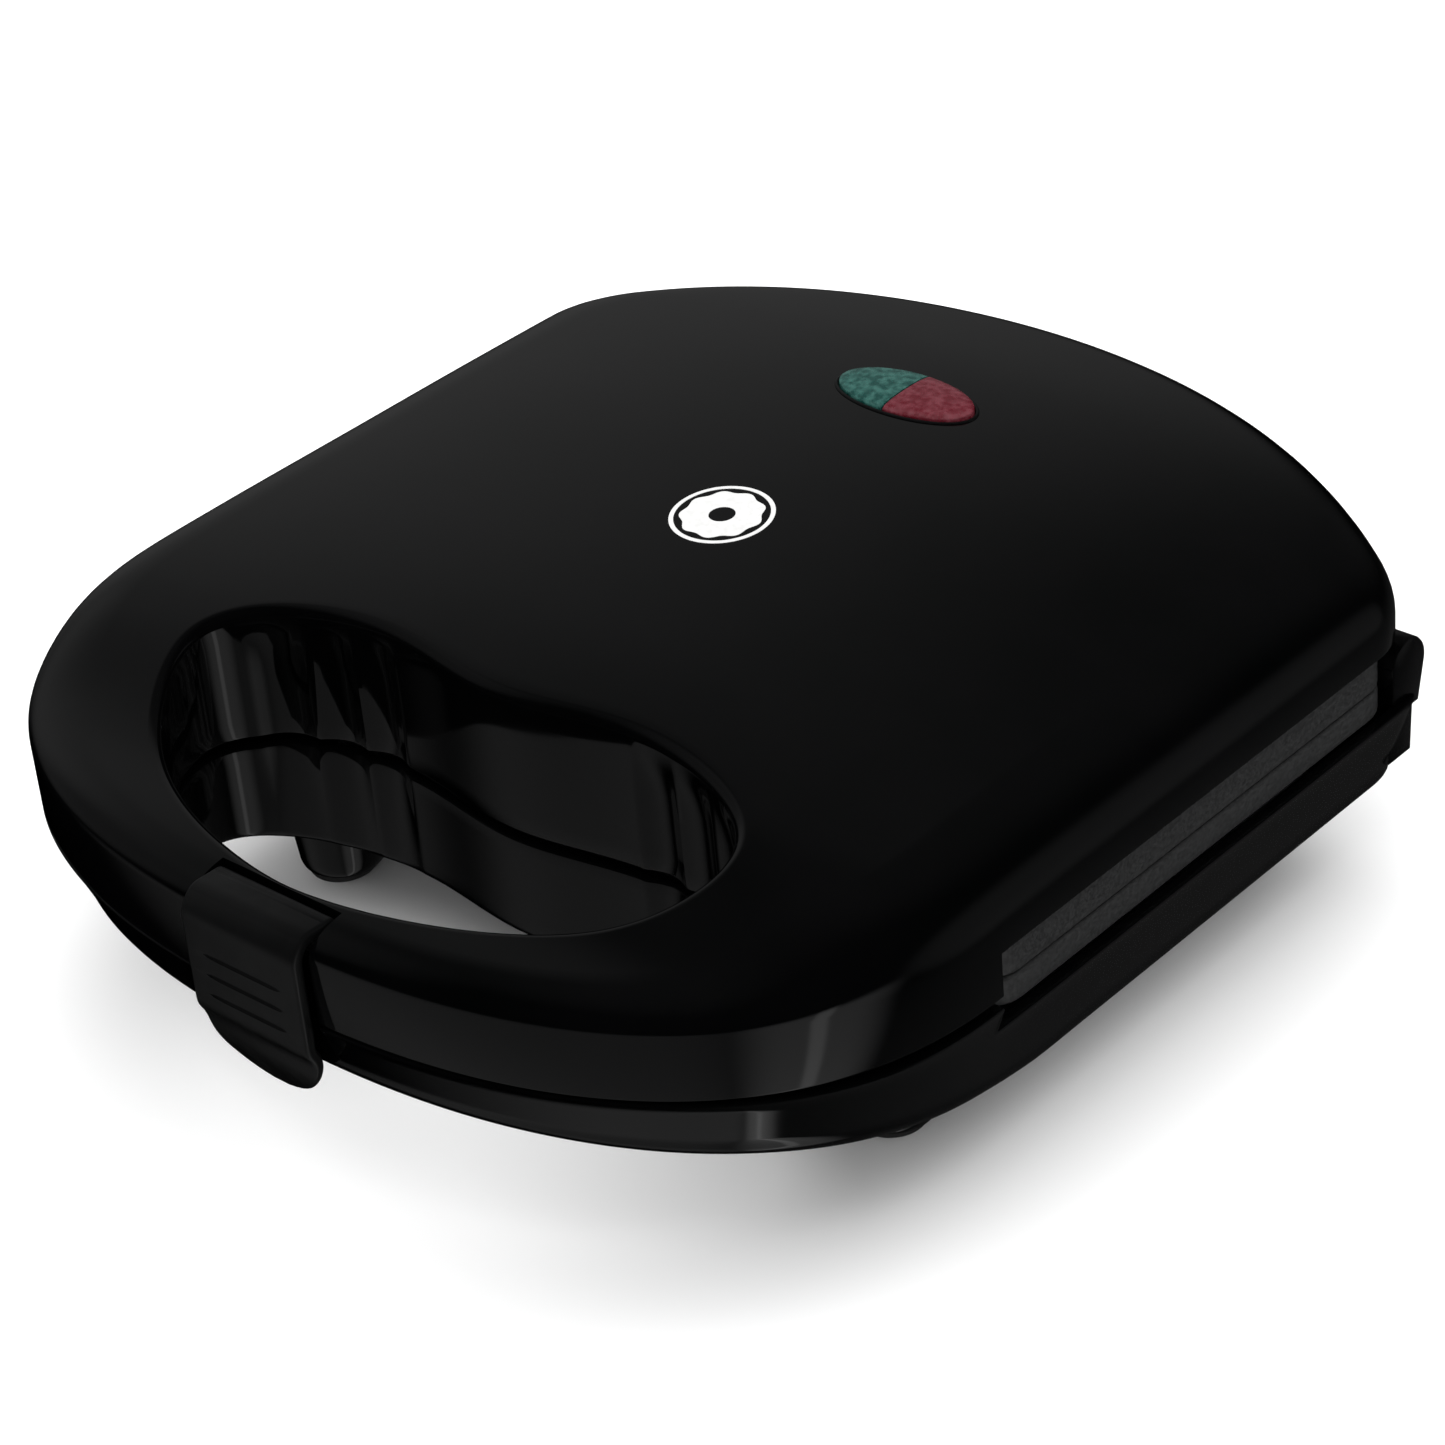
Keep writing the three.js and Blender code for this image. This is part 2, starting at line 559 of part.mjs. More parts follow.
function cordGland() {
  const y = BASE_REAR - 1;
  const { cord, hole, flange } = GLAND;
  const profile = [[cord, -5], [hole, -5], [hole, 1.3], [flange, 1.3], [flange, 2.4], [flange - 1, 3.1],
    [cord, 3.1], [cord, -5]];
  const geometry = new THREE.LatheGeometry(profile.map(([r, z]) => new THREE.Vector2(r, z)), 20);
  geometry.translate(GLAND.x, y, GLAND.z);
  return toSolid(geometry);
}

// ---------------------------------------------------------------- lid trim and lamps
function lensHalf(side) {
  const z = lidSurface(0, LENS.y);
  const profile = [];
  for (let i = 0; i <= 5; i += 1) {
    const a = (i / 5) * (Math.PI / 2);
    profile.push(new THREE.Vector2(Math.sin(a), LENS.dome * Math.cos(a)));
  }
  profile.push(new THREE.Vector2(1, -LENS.body), new THREE.Vector2(0, -LENS.body));
  const geometry = new THREE.LatheGeometry(profile.reverse(), 32);
  geometry.rotateX(Math.PI / 2);
  geometry.scale(LENS.half, LENS.depth, 1);
  geometry.translate(0, LENS.y, z);
  const keep = side > 0 ? box(GAP / 2, 40, 150, 220, 60, 100) : box(-40, -GAP / 2, 150, 220, 60, 100);
  return toSolid(geometry).intersect(keep);
}

const LAMP_Z = 71.2;
function lampHolder() {
  const tray = box(-15, 15, LENS.y - 6, LENS.y + 6, LAMP_Z - 0.6, LAMP_Z + 1);
  const divider = box(-0.6, 0.6, LENS.y - 6, LENS.y + 6, LAMP_Z, LAMP_Z + 6);
  return tray.add(divider);
}

function lamp(x) {
  const profile = [[0, 0], [2.6, 0], [2.6, 3.8], [1.8, 4.9], [0, 5.4]];
  const geometry = new THREE.LatheGeometry(profile.map(([r, z]) => new THREE.Vector2(r, z)), 14);
  geometry.rotateX(Math.PI / 2);
  geometry.translate(x, LENS.y, LAMP_Z + 1 + GAP);
  return toSolid(geometry);
}

function rearCoverOutline() {
  const inset = { front: 0, side: WALL + 0.5, rear: WALL + 0.5 };
  return bodyOutline(inset, arcRear).filter((p) => p.y > HINGE.y + 8);
}

function lidRearCover() {
  const panel = prism(rearCoverOutline(), COVER_Z, COVER_Z + 2);
  const { x, y } = COVER_SCREW;
  return cut(panel, [-x, x].map((at) => postZ(at, y, COVER_Z - 5, COVER_Z + 10, BORE, BORE, 10)));
}

function coverScrew(x) {
  const { y, head, bottom, length } = COVER_SCREW;
  const cap = postZ(x, y, COVER_Z - bottom, COVER_Z - GAP, head - 0.1, head + 0.1, 12);
  const shaft = postZ(x, y, COVER_Z - 1, COVER_Z + length, SHAFT, SHAFT, 10);
  const slot = box(x - 2, x + 2, y - 0.4, y + 0.4, COVER_Z - bottom - 1, COVER_Z - bottom + 0.7);
  return cut(cap.add(shaft), [slot]);
}

// ---------------------------------------------------------------- latch
const TONGUE_Z = 39.4;
const GROOVE = { count: 3, pitch: 4.35, halfLength: 9.6, top: 54.6, width: 1, depth: 0.55 };

function latch() {
  const { face, half, tip } = LATCH;
  const outer = [[LATCH.y, LATCH.z + LATCH.barrel], [1.2, 64.9], [-1.1, 62.6], [face, 58.6], [face, 41.2],
    [face + 1.2, 39.2], [face + 1.9, 34.5], [1.9, tip]];
  const inner = [[4.1, tip + 1.2], [2.6, 34], [2.5, 37.4], [0.5, 38.6], [0.4, 59.4], [1.6, 61.6],
    [LATCH.y - 2.6, LATCH.z + 0.4], [LATCH.y, LATCH.z]];
  const profile = [...outer, ...inner].map(([y, z]) => new THREE.Vector2(y, z));
  const strip = sidePrism(profile, -half, half);
  const tongue = [];
  for (let i = 0; i <= 10; i += 1) {
    const a = Math.PI * (1 + i / 10);
    tongue.push(new THREE.Vector2(Math.cos(a) * half, TONGUE_Z + Math.sin(a) * (TONGUE_Z - tip)));
  }
  const shape = [new THREE.Vector2(-half, ABOVE), ...tongue, new THREE.Vector2(half, ABOVE)];
  const front = new THREE.ExtrudeGeometry(new THREE.Shape(shape), { depth: 30, bevelEnabled: false });
  front.rotateX(Math.PI / 2);
  front.translate(0, 20, 0);
  const { count, pitch, halfLength, top, width, depth } = GROOVE;
  const grooves = Array.from({ length: count }, (_, i) => box(-halfLength, halfLength, face - 1, face + depth,
    top - width - i * pitch, top - i * pitch));
  const body = strip.intersect(toSolid(front));
  const knuckle = rodX(-half, half, LATCH.y, LATCH.z, LATCH.barrel, 20);
  const bore = rodX(-half - 5, half + 5, LATCH.y, LATCH.z, LATCH.pin + PIN_PLAY, 12);
  return cut(body.add(knuckle), [...grooves, bore]);
}

// ---------------------------------------------------------------- assembly
const paint = (color, roughness, metalness = 0) => ({ color, roughness, metalness });
const GLOSS = paint(0x0b0b0c, 0.12);
const SATIN = paint(0x111213, 0.4);
const COATED = paint(0x2a2b2d, 0.6, 0.2);
const STEEL = paint(0xb4b7ba, 0.35, 0.9);
const ZINC = paint(0x9a9da0, 0.45, 0.9);
const RUBBER = paint(0x161616, 0.9);
const CERAMIC = paint(0xd8d3c4, 0.7);
const GREEN = paint(0x0d5a4c, 0.15);
const RED = paint(0x8a1220, 0.15);
const GLASS = paint(0xe8c9a0, 0.1);

function piece(name, solid, finish) {
  const mesh = new THREE.Mesh(toGeometry(solid), new THREE.MeshStandardMaterial(finish));
  mesh.name = name;
  return mesh;
}

const base = new THREE.Group();
base.add(
  piece('base_housing', baseHousing(), GLOSS),
  piece('lower_plate', cookingPlate(1, LOWER_RIM_Z), COATED),
  piece('lower_heating_element', heatingElement(LOWER_BOSS_Z - GAP - ELEMENT_RADIUS), STEEL),
  piece('lower_heat_shield', heatShield(LOWER_TRAY_Z, LOWER_TRAY_Z + TRAY_EDGE), ZINC),
  piece('thermostat', thermostat(), CERAMIC),
  piece('thermostat_bracket', thermostatBracket(), ZINC),
  piece('thermal_fuse', thermalFuse(), STEEL),
  piece('terminal_block', terminalBlock(), CERAMIC),
  piece('cord_gland', cordGland(), RUBBER),
);
for (const [x, y, place] of FEET) {
  const pad = postZ(x, y, 0, FOOT.padHeight - GAP, FOOT.pad - 0.6, FOOT.pad, 16);
  base.add(piece(`foot_pad_${place}`, pad, RUBBER));
}

const lid = new THREE.Group();
lid.add(
  piece('lid_housing', lidHousing(), GLOSS),
  piece('upper_plate', cookingPlate(-1, UPPER_RIM_Z), COATED),
  piece('upper_heating_element', heatingElement(UPPER_BOSS_Z + GAP + ELEMENT_RADIUS), STEEL),
  piece('upper_heat_shield', heatShield(UPPER_TRAY_Z, UPPER_TRAY_Z - TRAY_EDGE), ZINC),
  piece('lens_green', lensHalf(-1), GREEN),
  piece('lens_red', lensHalf(1), RED),
  piece('lamp_holder', lampHolder(), CERAMIC),
  piece('lamp_green', lamp(-8), GLASS),
  piece('lamp_red', lamp(8), GLASS),
  piece('lid_rear_cover', lidRearCover(), SATIN),
  piece('latch_pin', rodX(-SOLID_HALF + 2, SOLID_HALF - 2, LATCH.y, LATCH.z, LATCH.pin, 12), STEEL),
);

SCREW_X.forEach((x, i) => {
  base.add(piece(`lower_plate_screw_${i + 1}`, plateScrew(x, 1), STEEL));
  lid.add(piece(`upper_plate_screw_${i + 1}`, plateScrew(x, -1), STEEL));
});
for (const [side, place] of [[-1, 'left'], [1, 'right']]) {
  const x0 = side * (HINGE.inner + 2.4);
  const x1 = side * (HINGE.outer - 1.6);
  const pin = rodX(Math.min(x0, x1), Math.max(x0, x1), HINGE.y, HINGE.z, HINGE.pin, 12);
  base.add(piece(`hinge_pin_${place}`, pin, STEEL));
  lid.add(piece(`cover_screw_${place}`, coverScrew(side * COVER_SCREW.x), STEEL));
}

const latchGroup = new THREE.Group();
latchGroup.add(piece('latch', latch(), SATIN));

const donutMaker = new THREE.Group();
donutMaker.position.y = -MID_Y;
donutMaker.add(base, lid, latchGroup);

export default donutMaker;
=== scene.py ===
"""Donut maker: the visual model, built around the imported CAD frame.

Shapes are worked out in millimetres. Y is measured from the front of the handle, as the frame's lid_housing
gives it, and place() turns such a point into the frame's metres.
"""
import json
import math

import bmesh
import bpy
import numpy as np
from mathutils import Matrix, Vector


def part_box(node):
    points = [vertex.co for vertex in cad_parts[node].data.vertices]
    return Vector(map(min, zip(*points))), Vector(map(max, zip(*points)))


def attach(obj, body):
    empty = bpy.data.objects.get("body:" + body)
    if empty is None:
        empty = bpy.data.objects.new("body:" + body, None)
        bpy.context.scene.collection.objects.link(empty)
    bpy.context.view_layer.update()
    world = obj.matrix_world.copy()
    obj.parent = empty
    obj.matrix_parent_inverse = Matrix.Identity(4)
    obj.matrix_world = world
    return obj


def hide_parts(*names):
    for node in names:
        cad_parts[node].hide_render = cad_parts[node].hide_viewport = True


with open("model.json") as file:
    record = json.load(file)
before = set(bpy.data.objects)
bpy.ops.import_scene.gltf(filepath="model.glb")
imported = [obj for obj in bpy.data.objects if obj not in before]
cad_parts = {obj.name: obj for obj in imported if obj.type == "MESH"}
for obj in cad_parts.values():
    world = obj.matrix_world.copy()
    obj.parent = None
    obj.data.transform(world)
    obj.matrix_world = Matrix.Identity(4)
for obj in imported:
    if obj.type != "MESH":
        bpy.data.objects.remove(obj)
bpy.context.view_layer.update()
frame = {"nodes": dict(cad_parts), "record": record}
MM = 0.001

# ---------------------------------------------------------------- driving dimensions
lid_low, lid_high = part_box("lid_housing")
plate_low, plate_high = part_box("lower_plate")
upper_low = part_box("upper_plate")[0]
lens_low, lens_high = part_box("lens_red")
latch_low, latch_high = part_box("latch")
pad_low, pad_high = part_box("foot_pad_front_right")
FRONT = lid_low.y


def along(y):
    """A frame Y in metres, as millimetres from the front of the handle."""
    return (y - FRONT) / MM


HALF_WIDTH = lid_high.x / MM
BODY_REAR = along(lid_high.y)
BASE_REAR = 208
REAR_RADIUS = 158
NOSE_DEPTH = 76
NOSE_POWER = 2.35
CORNER = 8
WALL = 2.4

LID_FRONT_Z = 47.1
LID_SKIRT_Z = 56
LID_EDGE_Z = 60.5
BASE_RIM_Z = 46.7
BASE_RIM_DROP = 1.8
BASE_WALL_Z = 38.5
BASE_FLOOR_Z = 18.1
BASE_FRONT_Z = 34.6
BASE_DRAFT = 0.264
STEP_Y = 74.5
SHOULDER_X = 91.4

# heights along the lid's middle, along its shoulder and under the base, as (y, z)
CREST = ((-12, 62), (7, 65.6), (30, 67.6), (52, 74.8), (66, 77.6), (90, 80.4), (126, 82.5), (165, 83.2),
         (200, 81.2), (228, 76.4), (250, 71))
SHOULDER = ((-12, 60.5), (7, 63.4), (30, 64.8), (52, 71.8), (66, 73.8), (90, 74.6), (126, 74.7), (165, 74.6),
            (200, 73.6), (228, 71), (250, 68))
BELLY = ((-12, 35.2), (3, 33.8), (30, 29.4), (50, 25.3), (74, 20.5), (90, 18.3), (104, 18.1), (240, 18.1))
LID_FILLET = np.array((8.0, 16.0, 12.0))

GRIP_HALF = 66.5
GRIP_Y = 50
GRIP_FRONT = 39.3
GRIP_BACK = 21
GRIP_BOW = 7
GRIP_RIM = 2.2

PLATE_HALF = plate_high.x / MM
PLATE_FRONT = along(plate_low.y)
PLATE_REAR = along(plate_high.y)
PLATE_MID = (PLATE_FRONT + PLATE_REAR) / 2
PLATE_CORNER = 7
PLATE_EDGE = 0.7
PLATE_SHELL = 2.6
CORNER_FAN = 9
LOWER_FACE_Z = plate_high.z / MM
UPPER_FACE_Z = upper_low.z / MM
LOWER_RIM_Z = 40.2
UPPER_RIM_Z = 57.4
WELL_PITCH = (62, 56)
WELL_RING = 18
WELL_SECTION = 9.2
WELL_DEPTH = 11.4
WELL_LIP = 0.6

HINGE_Y, HINGE_Z, HINGE_R = 203.6, 45.6, 5.6
HINGE_SPANS = {"lid": (84, 93.4), "base": (94, 103.6)}
LATCH_Y, LATCH_Z, LATCH_R = 5.6, 62.6, 3.1
LATCH_HALF = latch_high.x / MM
LATCH_FACE = along(latch_low.y)
LATCH_TIP = latch_low.z / MM
CORE_HALF = 19
LENS_Y = along((lens_low.y + lens_high.y) / 2)
LENS_HALF = lens_high.x / MM
LENS_DEPTH = (lens_high.y - lens_low.y) / 2 / MM
FOOT_X = 71.8
FOOT_Y = (83.6, 188)
GLAND = (-84, 28.4)
SCREW_X = (-97, -31, 31, 97)
SCREW_HOLE_R = 1.75
SCREW_HEAD_R = 4.3
TOUCH = 1e-4


def place(points):
    """Millimetres from the handle's front, as frame metres."""
    return np.asarray(points, float) * MM + np.array((0, FRONT, 0))


# ---------------------------------------------------------------- curves
def height(profile, y):
    """Smooth curve through (y, z) pairs."""
    ys, zs = (np.array(v, float) for v in zip(*profile))
    slope = np.gradient(zs)
    slope[1:-1] = (zs[2:] - zs[:-2]) / (ys[2:] - ys[:-2])
    slope[0] = (zs[1] - zs[0]) / (ys[1] - ys[0])
    slope[-1] = (zs[-1] - zs[-2]) / (ys[-1] - ys[-2])
    i = np.clip(np.searchsorted(ys, y, side="left") - 1, 0, len(ys) - 2)
    span = ys[i + 1] - ys[i]
    t = np.clip((y - ys[i]) / span, 0, 1)
    ease = t * t * (3 - 2 * t)
    pull = span * t * (1 - t)
    return zs[i] + (zs[i + 1] - zs[i]) * ease + pull * ((1 - t) * slope[i] - t * slope[i + 1])


def lid_top(p):
    """Height of the lid's top over plan points."""
    low = height(SHOULDER, p[:, 1])
    across = (p[:, 0] / SHOULDER_X) ** 2
    return low + (height(CREST, p[:, 1]) - low) * (1 - across)


def mirrored(half_ring):
    """A closed ring from its right half, which runs from the front middle to the rear middle."""
    left = half_ring[-2:0:-1] * (-1, 1)
    return np.vstack((half_ring, left))


NOSE_STEPS, SIDE_STEPS, CORNER_STEPS, REAR_STEPS = 96, 44, 12, 40
STEP_EDGE = 0.05


def outline(inset, rear_line):
    """Plan ring of the body, drawn in by (front, side, rear) millimetres."""
    front, side, rear = inset
    half = HALF_WIDTH - side
    nose = NOSE_DEPTH - front
    a = np.pi * (1.5 + np.linspace(0, 0.5, NOSE_STEPS))
    x = half * np.abs(np.cos(a)) ** (2 / NOSE_POWER)
    y = NOSE_DEPTH - nose * np.abs(np.sin(a)) ** (2 / NOSE_POWER)
    x[0], x[-1], y[-1] = 0, half, NOSE_DEPTH
    step = np.array(((half, STEP_Y - STEP_EDGE), (half, STEP_Y + STEP_EDGE)))
    x_step = half * (1 - ((NOSE_DEPTH - step[:, 1]) / nose) ** NOSE_POWER) ** (1 / NOSE_POWER)
    step[:, 0] = x_step
    nose_ring = np.column_stack((x, y))[y < STEP_Y - 0.4]
    short = NOSE_STEPS - len(nose_ring)
    if short:
        extra = np.linspace(nose_ring[-1], step[0], short + 1)[1:-1]
        nose_ring = np.vstack((nose_ring, extra, step[:1]))
    corner_y = rear_line(half, rear)
    side_y = np.linspace(STEP_Y + STEP_EDGE, corner_y - CORNER, SIDE_STEPS)[:-1]
    side_x = np.where(side_y < NOSE_DEPTH, step[1, 0], half)
    t = np.linspace(0, 1, CORNER_STEPS)[:, None]
    corner_x = half - CORNER
    knots = np.array(((half, corner_y - CORNER), (half, corner_y), (corner_x, rear_line(corner_x, rear))))
    corner = knots[0] * (1 - t) ** 2 + knots[1] * 2 * t * (1 - t) + knots[2] * t ** 2
    rear_x = (half - CORNER) * (1 - np.linspace(0, 1, REAR_STEPS)[1:])
    rear_ring = np.column_stack((rear_x, rear_line(rear_x, rear)))
    return mirrored(np.vstack((nose_ring, np.column_stack((side_x, side_y)), corner, rear_ring)))


def arc_rear(x, inset):
    return BODY_REAR - REAR_RADIUS + np.sqrt((REAR_RADIUS - inset) ** 2 - np.square(x))


def flat_rear(x, inset):
    return np.zeros_like(x, dtype=float) + BASE_REAR - inset


def normals(ring):
    """Outward plan normals of an anticlockwise ring."""
    run = np.roll(ring, -1, axis=0) - np.roll(ring, 1, axis=0)
    out = np.column_stack((run[:, 1], -run[:, 0]))
    return out / np.linalg.norm(out, axis=1)[:, None]


def grip_curve(a):
    """The D-shaped handle opening, from its front middle round its right side."""
    c = np.cos(a)
    x = np.sign(c) * GRIP_HALF * np.abs(c) ** 0.9
    u = np.minimum(1, np.abs(x / GRIP_HALF))
    front = GRIP_Y - GRIP_FRONT * (1 - u ** 1.75) ** (1 / 1.75)
    back = GRIP_Y + GRIP_BACK * (1 - u ** 2.6) ** (1 / 2.2) - GRIP_BOW * np.exp(-((x / 26) ** 2))
    return np.column_stack((x, np.where(np.sin(a) < 0, front, np.maximum(back, GRIP_Y))))


def grip_ring(outer):
    """As many points of the opening as an outer ring has, each facing its own outer point."""
    fine = grip_curve(np.linspace(-np.pi / 2, np.pi / 2, 3000))
    run = np.r_[0, np.cumsum(np.linalg.norm(np.diff(fine, axis=0), axis=1))]
    middle = np.array((0, 45))
    angle = np.arctan2(*(fine - middle)[:, ::-1].T)
    half = outer[: len(outer) // 2 + 1]
    wanted = np.arctan2(*(half - middle)[:, ::-1].T)
    wanted[0], wanted[-1] = -np.pi / 2, np.pi / 2
    facing = np.interp(wanted, angle, run) / run[-1]
    share = 0.45 * facing + 0.55 * np.linspace(0, 1, len(half))
    x, y = (np.interp(share * run[-1], run, fine[:, n]) for n in (0, 1))
    x[0] = x[-1] = 0
    return mirrored(np.column_stack((x, y)))


FLUTE_COUNT, FLUTE_DEPTH = 3, 1.3
FLUTE_X = (30, 62)


def flutes(ring):
    """How far the opening's wall is scooped back by its finger flutes."""
    x = np.abs(ring[:, 0])
    t = np.clip((x - FLUTE_X[0]) / (FLUTE_X[1] - FLUTE_X[0]), 0, 1)
    behind = ring[:, 1] > GRIP_Y + 2
    return np.where(behind, FLUTE_DEPTH * np.abs(np.sin(np.pi * FLUTE_COUNT * t)), 0)


# ---------------------------------------------------------------- mesh helpers
def finish_mesh(name, mesh, sharp_angle):
    mesh.polygons.foreach_set("use_smooth", [True] * len(mesh.polygons))
    mesh.set_sharp_from_angle(angle=math.radians(sharp_angle))
    piece = bpy.data.objects.new(name, mesh)
    bpy.context.scene.collection.objects.link(piece)
    return piece


def solid(name, points, faces, sharp_angle=38):
    """A closed mesh piece from points in millimetres."""
    mesh = bpy.data.meshes.new(name)
    mesh.from_pydata(place(points).tolist(), [], [list(f) for f in faces])
    work = bmesh.new()
    work.from_mesh(mesh)
    bmesh.ops.remove_doubles(work, verts=work.verts, dist=1e-7)
    bmesh.ops.dissolve_degenerate(work, edges=work.edges, dist=1e-7)
    bmesh.ops.recalc_face_normals(work, faces=work.faces)
    work.to_mesh(mesh)
    work.free()
    return finish_mesh(name, mesh, sharp_angle)


def wrap(rows, closed):
    """Points and faces of a grid of rings.

    closed joins the last ring to the first, else both ends get a cap.
    """
    rows = [np.asarray(r, float) for r in rows]
    count = len(rows[0])
    faces = []
    last = len(rows) if closed else len(rows) - 1
    for r in range(last):
        low, high = r * count, ((r + 1) % len(rows)) * count
        for i in range(count):
            j = (i + 1) % count
            faces.append((low + i, low + j, high + j, high + i))
    if not closed:
        faces.append(tuple(range(count))[::-1])
        faces.append(tuple(range((len(rows) - 1) * count, len(rows) * count)))
    return np.vstack(rows), faces


def level(ring, z):
    return np.column_stack((ring, np.zeros(len(ring)) + z))


def lathe(name, profile, centre, sides=48, axis="Z", scale=(1, 1)):
    """A turned piece from (radius, height) pairs."""
    a = np.linspace(0, 2 * np.pi, sides, endpoint=False)
    rows = []
    for r, z in profile:
        x, y = r * scale[0] * np.cos(a), r * scale[1] * np.sin(a)
        flat = {"Z": (x, y, a * 0 + z), "Y": (x, a * 0 + z, y), "X": (a * 0 + z, x, y)}[axis]
        rows.append(np.column_stack(flat) + np.asarray(centre))
    points, faces = wrap(rows, closed=False)
    return solid(name, points, faces)


def side_prism(name, profile, x0, x1, edge=0.0):
    """A (y, z) profile run along X, its ends drawn in by a small round edge."""
    profile = np.asarray(profile, float)
    rows = []
    out = normals(profile)
    ends = [(x0, edge), (x0 + edge * 0.3, edge * 0.3), (x0 + edge, 0), (x1 - edge, 0),
            (x1 - edge * 0.3, edge * 0.3), (x1, edge)]
    for x, drawn in ends if edge else ends[2:4]:
        yz = profile - out * drawn
        rows.append(np.column_stack((np.full(len(yz), x), yz)))
    points, faces = wrap(rows, closed=False)
    return solid(name, points, faces)


def join_pieces(name, pieces):
    """One object from several, each still its own closed body."""
    work = bmesh.new()
    for piece in pieces:
        work.from_mesh(piece.data)
        bpy.data.objects.remove(piece)
    mesh = bpy.data.meshes.new(name)
    work.to_mesh(mesh)
    work.free()
    return finish_mesh(name, mesh, 38)


def boolean(piece, tools, operation):
    for tool in tools:
        change = piece.modifiers.new("cut", "BOOLEAN")
        change.operation = operation
        change.object = tool
        change.solver = "MANIFOLD"
        shape = bpy.data.meshes.new_from_object(piece.evaluated_get(bpy.context.evaluated_depsgraph_get()))
        piece.modifiers.clear()
        piece.data = shape
        bpy.data.objects.remove(tool)
    piece.data.polygons.foreach_set("use_smooth", [True] * len(piece.data.polygons))
    piece.data.set_sharp_from_angle(angle=math.radians(38))
    return piece


# ---------------------------------------------------------------- housings
TOP_ROWS = 58
FILLET_ROWS = 14
EDGE_ROUND = 0.5


def lid_bottom(ring):
    return np.where(ring[:, 1] < STEP_Y, LID_FRONT_Z, LID_SKIRT_Z)


def fillet_rows(start, end, end_z, drop, count):
    """Rings that turn from the lid's top, in its own slope, to the upright wall."""
    reach = end - start
    width = np.linalg.norm(reach, axis=1)
    start_z = lid_top(start) - drop
    slope = lid_top(start + reach * 0.02) - drop - start_z
    pull = 0.56
    first = np.column_stack((start + reach * pull, start_z + slope / 0.02 * pull))
    tall = np.maximum(start_z - end_z, 0.5)
    second = np.column_stack((end, end_z + tall * pull))
    a, d = np.column_stack((start, start_z)), level(end, end_z)
    rows = []
    for t in np.linspace(0, 1, count + 1)[1:]:
        rows.append(a * (1 - t) ** 3 + first * 3 * t * (1 - t) ** 2
                    + second * 3 * t * t * (1 - t) + d * t ** 3)
    return rows, width


def lid_skin():
    rows = []
    edge = outline((0, 0, 0), arc_rear)
    grip = grip_ring(edge)
    out = normals(grip)
    scoop = flutes(grip)

    def hole(grow, depth=0.0):
        return grip + out * (grow + scoop * depth)[:, None]

    rim_z = lid_top(grip) - GRIP_RIM
    for inset, rise in ((EDGE_ROUND, 0), (0.12, 0.16), (0, EDGE_ROUND)):
        rows.append(level(hole(np.full(len(grip), inset), 1), LID_FRONT_Z + rise))
    for t in np.linspace(0, 1, 9)[1:-1]:
        fade = min(1, (1 - t) * 3.2)
        rows.append(level(hole(np.zeros(len(grip)), fade), LID_FRONT_Z + EDGE_ROUND
                          + (rim_z - LID_FRONT_Z - EDGE_ROUND) * t))
    for a in np.radians(np.linspace(0, 90, 9)):
        p = hole(np.full(len(grip), GRIP_RIM * (1 - math.cos(a))))
        rows.append(level(p, lid_top(p) - GRIP_RIM * (1 - math.sin(a))))
    start = hole(np.full(len(grip), GRIP_RIM))
    end = outline(LID_FILLET, arc_rear)
    for t in np.linspace(0, 1, TOP_ROWS + 1)[1:]:
        p = start + (end - start) * t
        rows.append(level(p, lid_top(p)))
    rows += fillet_rows(end, edge, LID_EDGE_Z, 0, FILLET_ROWS)[0]
    bottom = lid_bottom(edge)
    for inset, rise in ((0, EDGE_ROUND), (0.12, 0.16), (EDGE_ROUND, 0)):
        rows.append(level(outline((inset,) * 3, arc_rear), bottom + rise))
    inner = outline((WALL,) * 3, arc_rear)
    rows.append(level(inner, bottom))
    rows.append(level(inner, LID_EDGE_Z))
    inner_end = outline(LID_FILLET + 1, arc_rear)
    rows += fillet_rows(inner_end, inner, LID_EDGE_Z, WALL, 6)[0][-2::-1]
    inner_start = hole(np.full(len(grip), WALL + GRIP_RIM))
    core = (np.abs(grip[:, 0]) < CORE_HALF) & (grip[:, 1] < GRIP_Y)
    for t in np.linspace(1, 0, 30):
        p = inner_start + (inner_end - inner_start) * t
        rows.append(level(p, lid_top(p) - WALL))
    rows.append(level(hole(np.full(len(grip), WALL)), LID_FRONT_Z))
    rows = [r.copy() for r in rows]
    solid_from = len(rows) - 1 - 30 - 6 - 1
    for r in rows[solid_from:]:
        r[core, 2] = LID_FRONT_Z
    return rows


def latch_recess(name):
    """The notch for the latch, as a cutter that runs through the front of both housings."""
    arc = [(LATCH_Y + 3.6 * math.cos(a), LATCH_Z + 3.6 * math.sin(a))
           for a in np.radians(np.linspace(-130, 0, 9))]
    profile = [(-6, 20), (3, 20), *arc, (LATCH_Y + 3.6, 72), (-6, 72)]
    return side_prism(name, profile, -LATCH_HALF - 0.6, LATCH_HALF + 0.6)


def knuckle_profile(radius, down_to, front, back):
    """A round-topped or round-bottomed hinge ear in side view."""
    sign = 1 if down_to < HINGE_Z else -1
    arc = np.radians(np.linspace(-12, 192, 25))
    points = [(HINGE_Y + radius * math.cos(a), HINGE_Z + sign * radius * math.sin(a)) for a in arc]
    points += [(HINGE_Y - front, down_to), (HINGE_Y + back, down_to)]
    return points if sign > 0 else points[::-1]


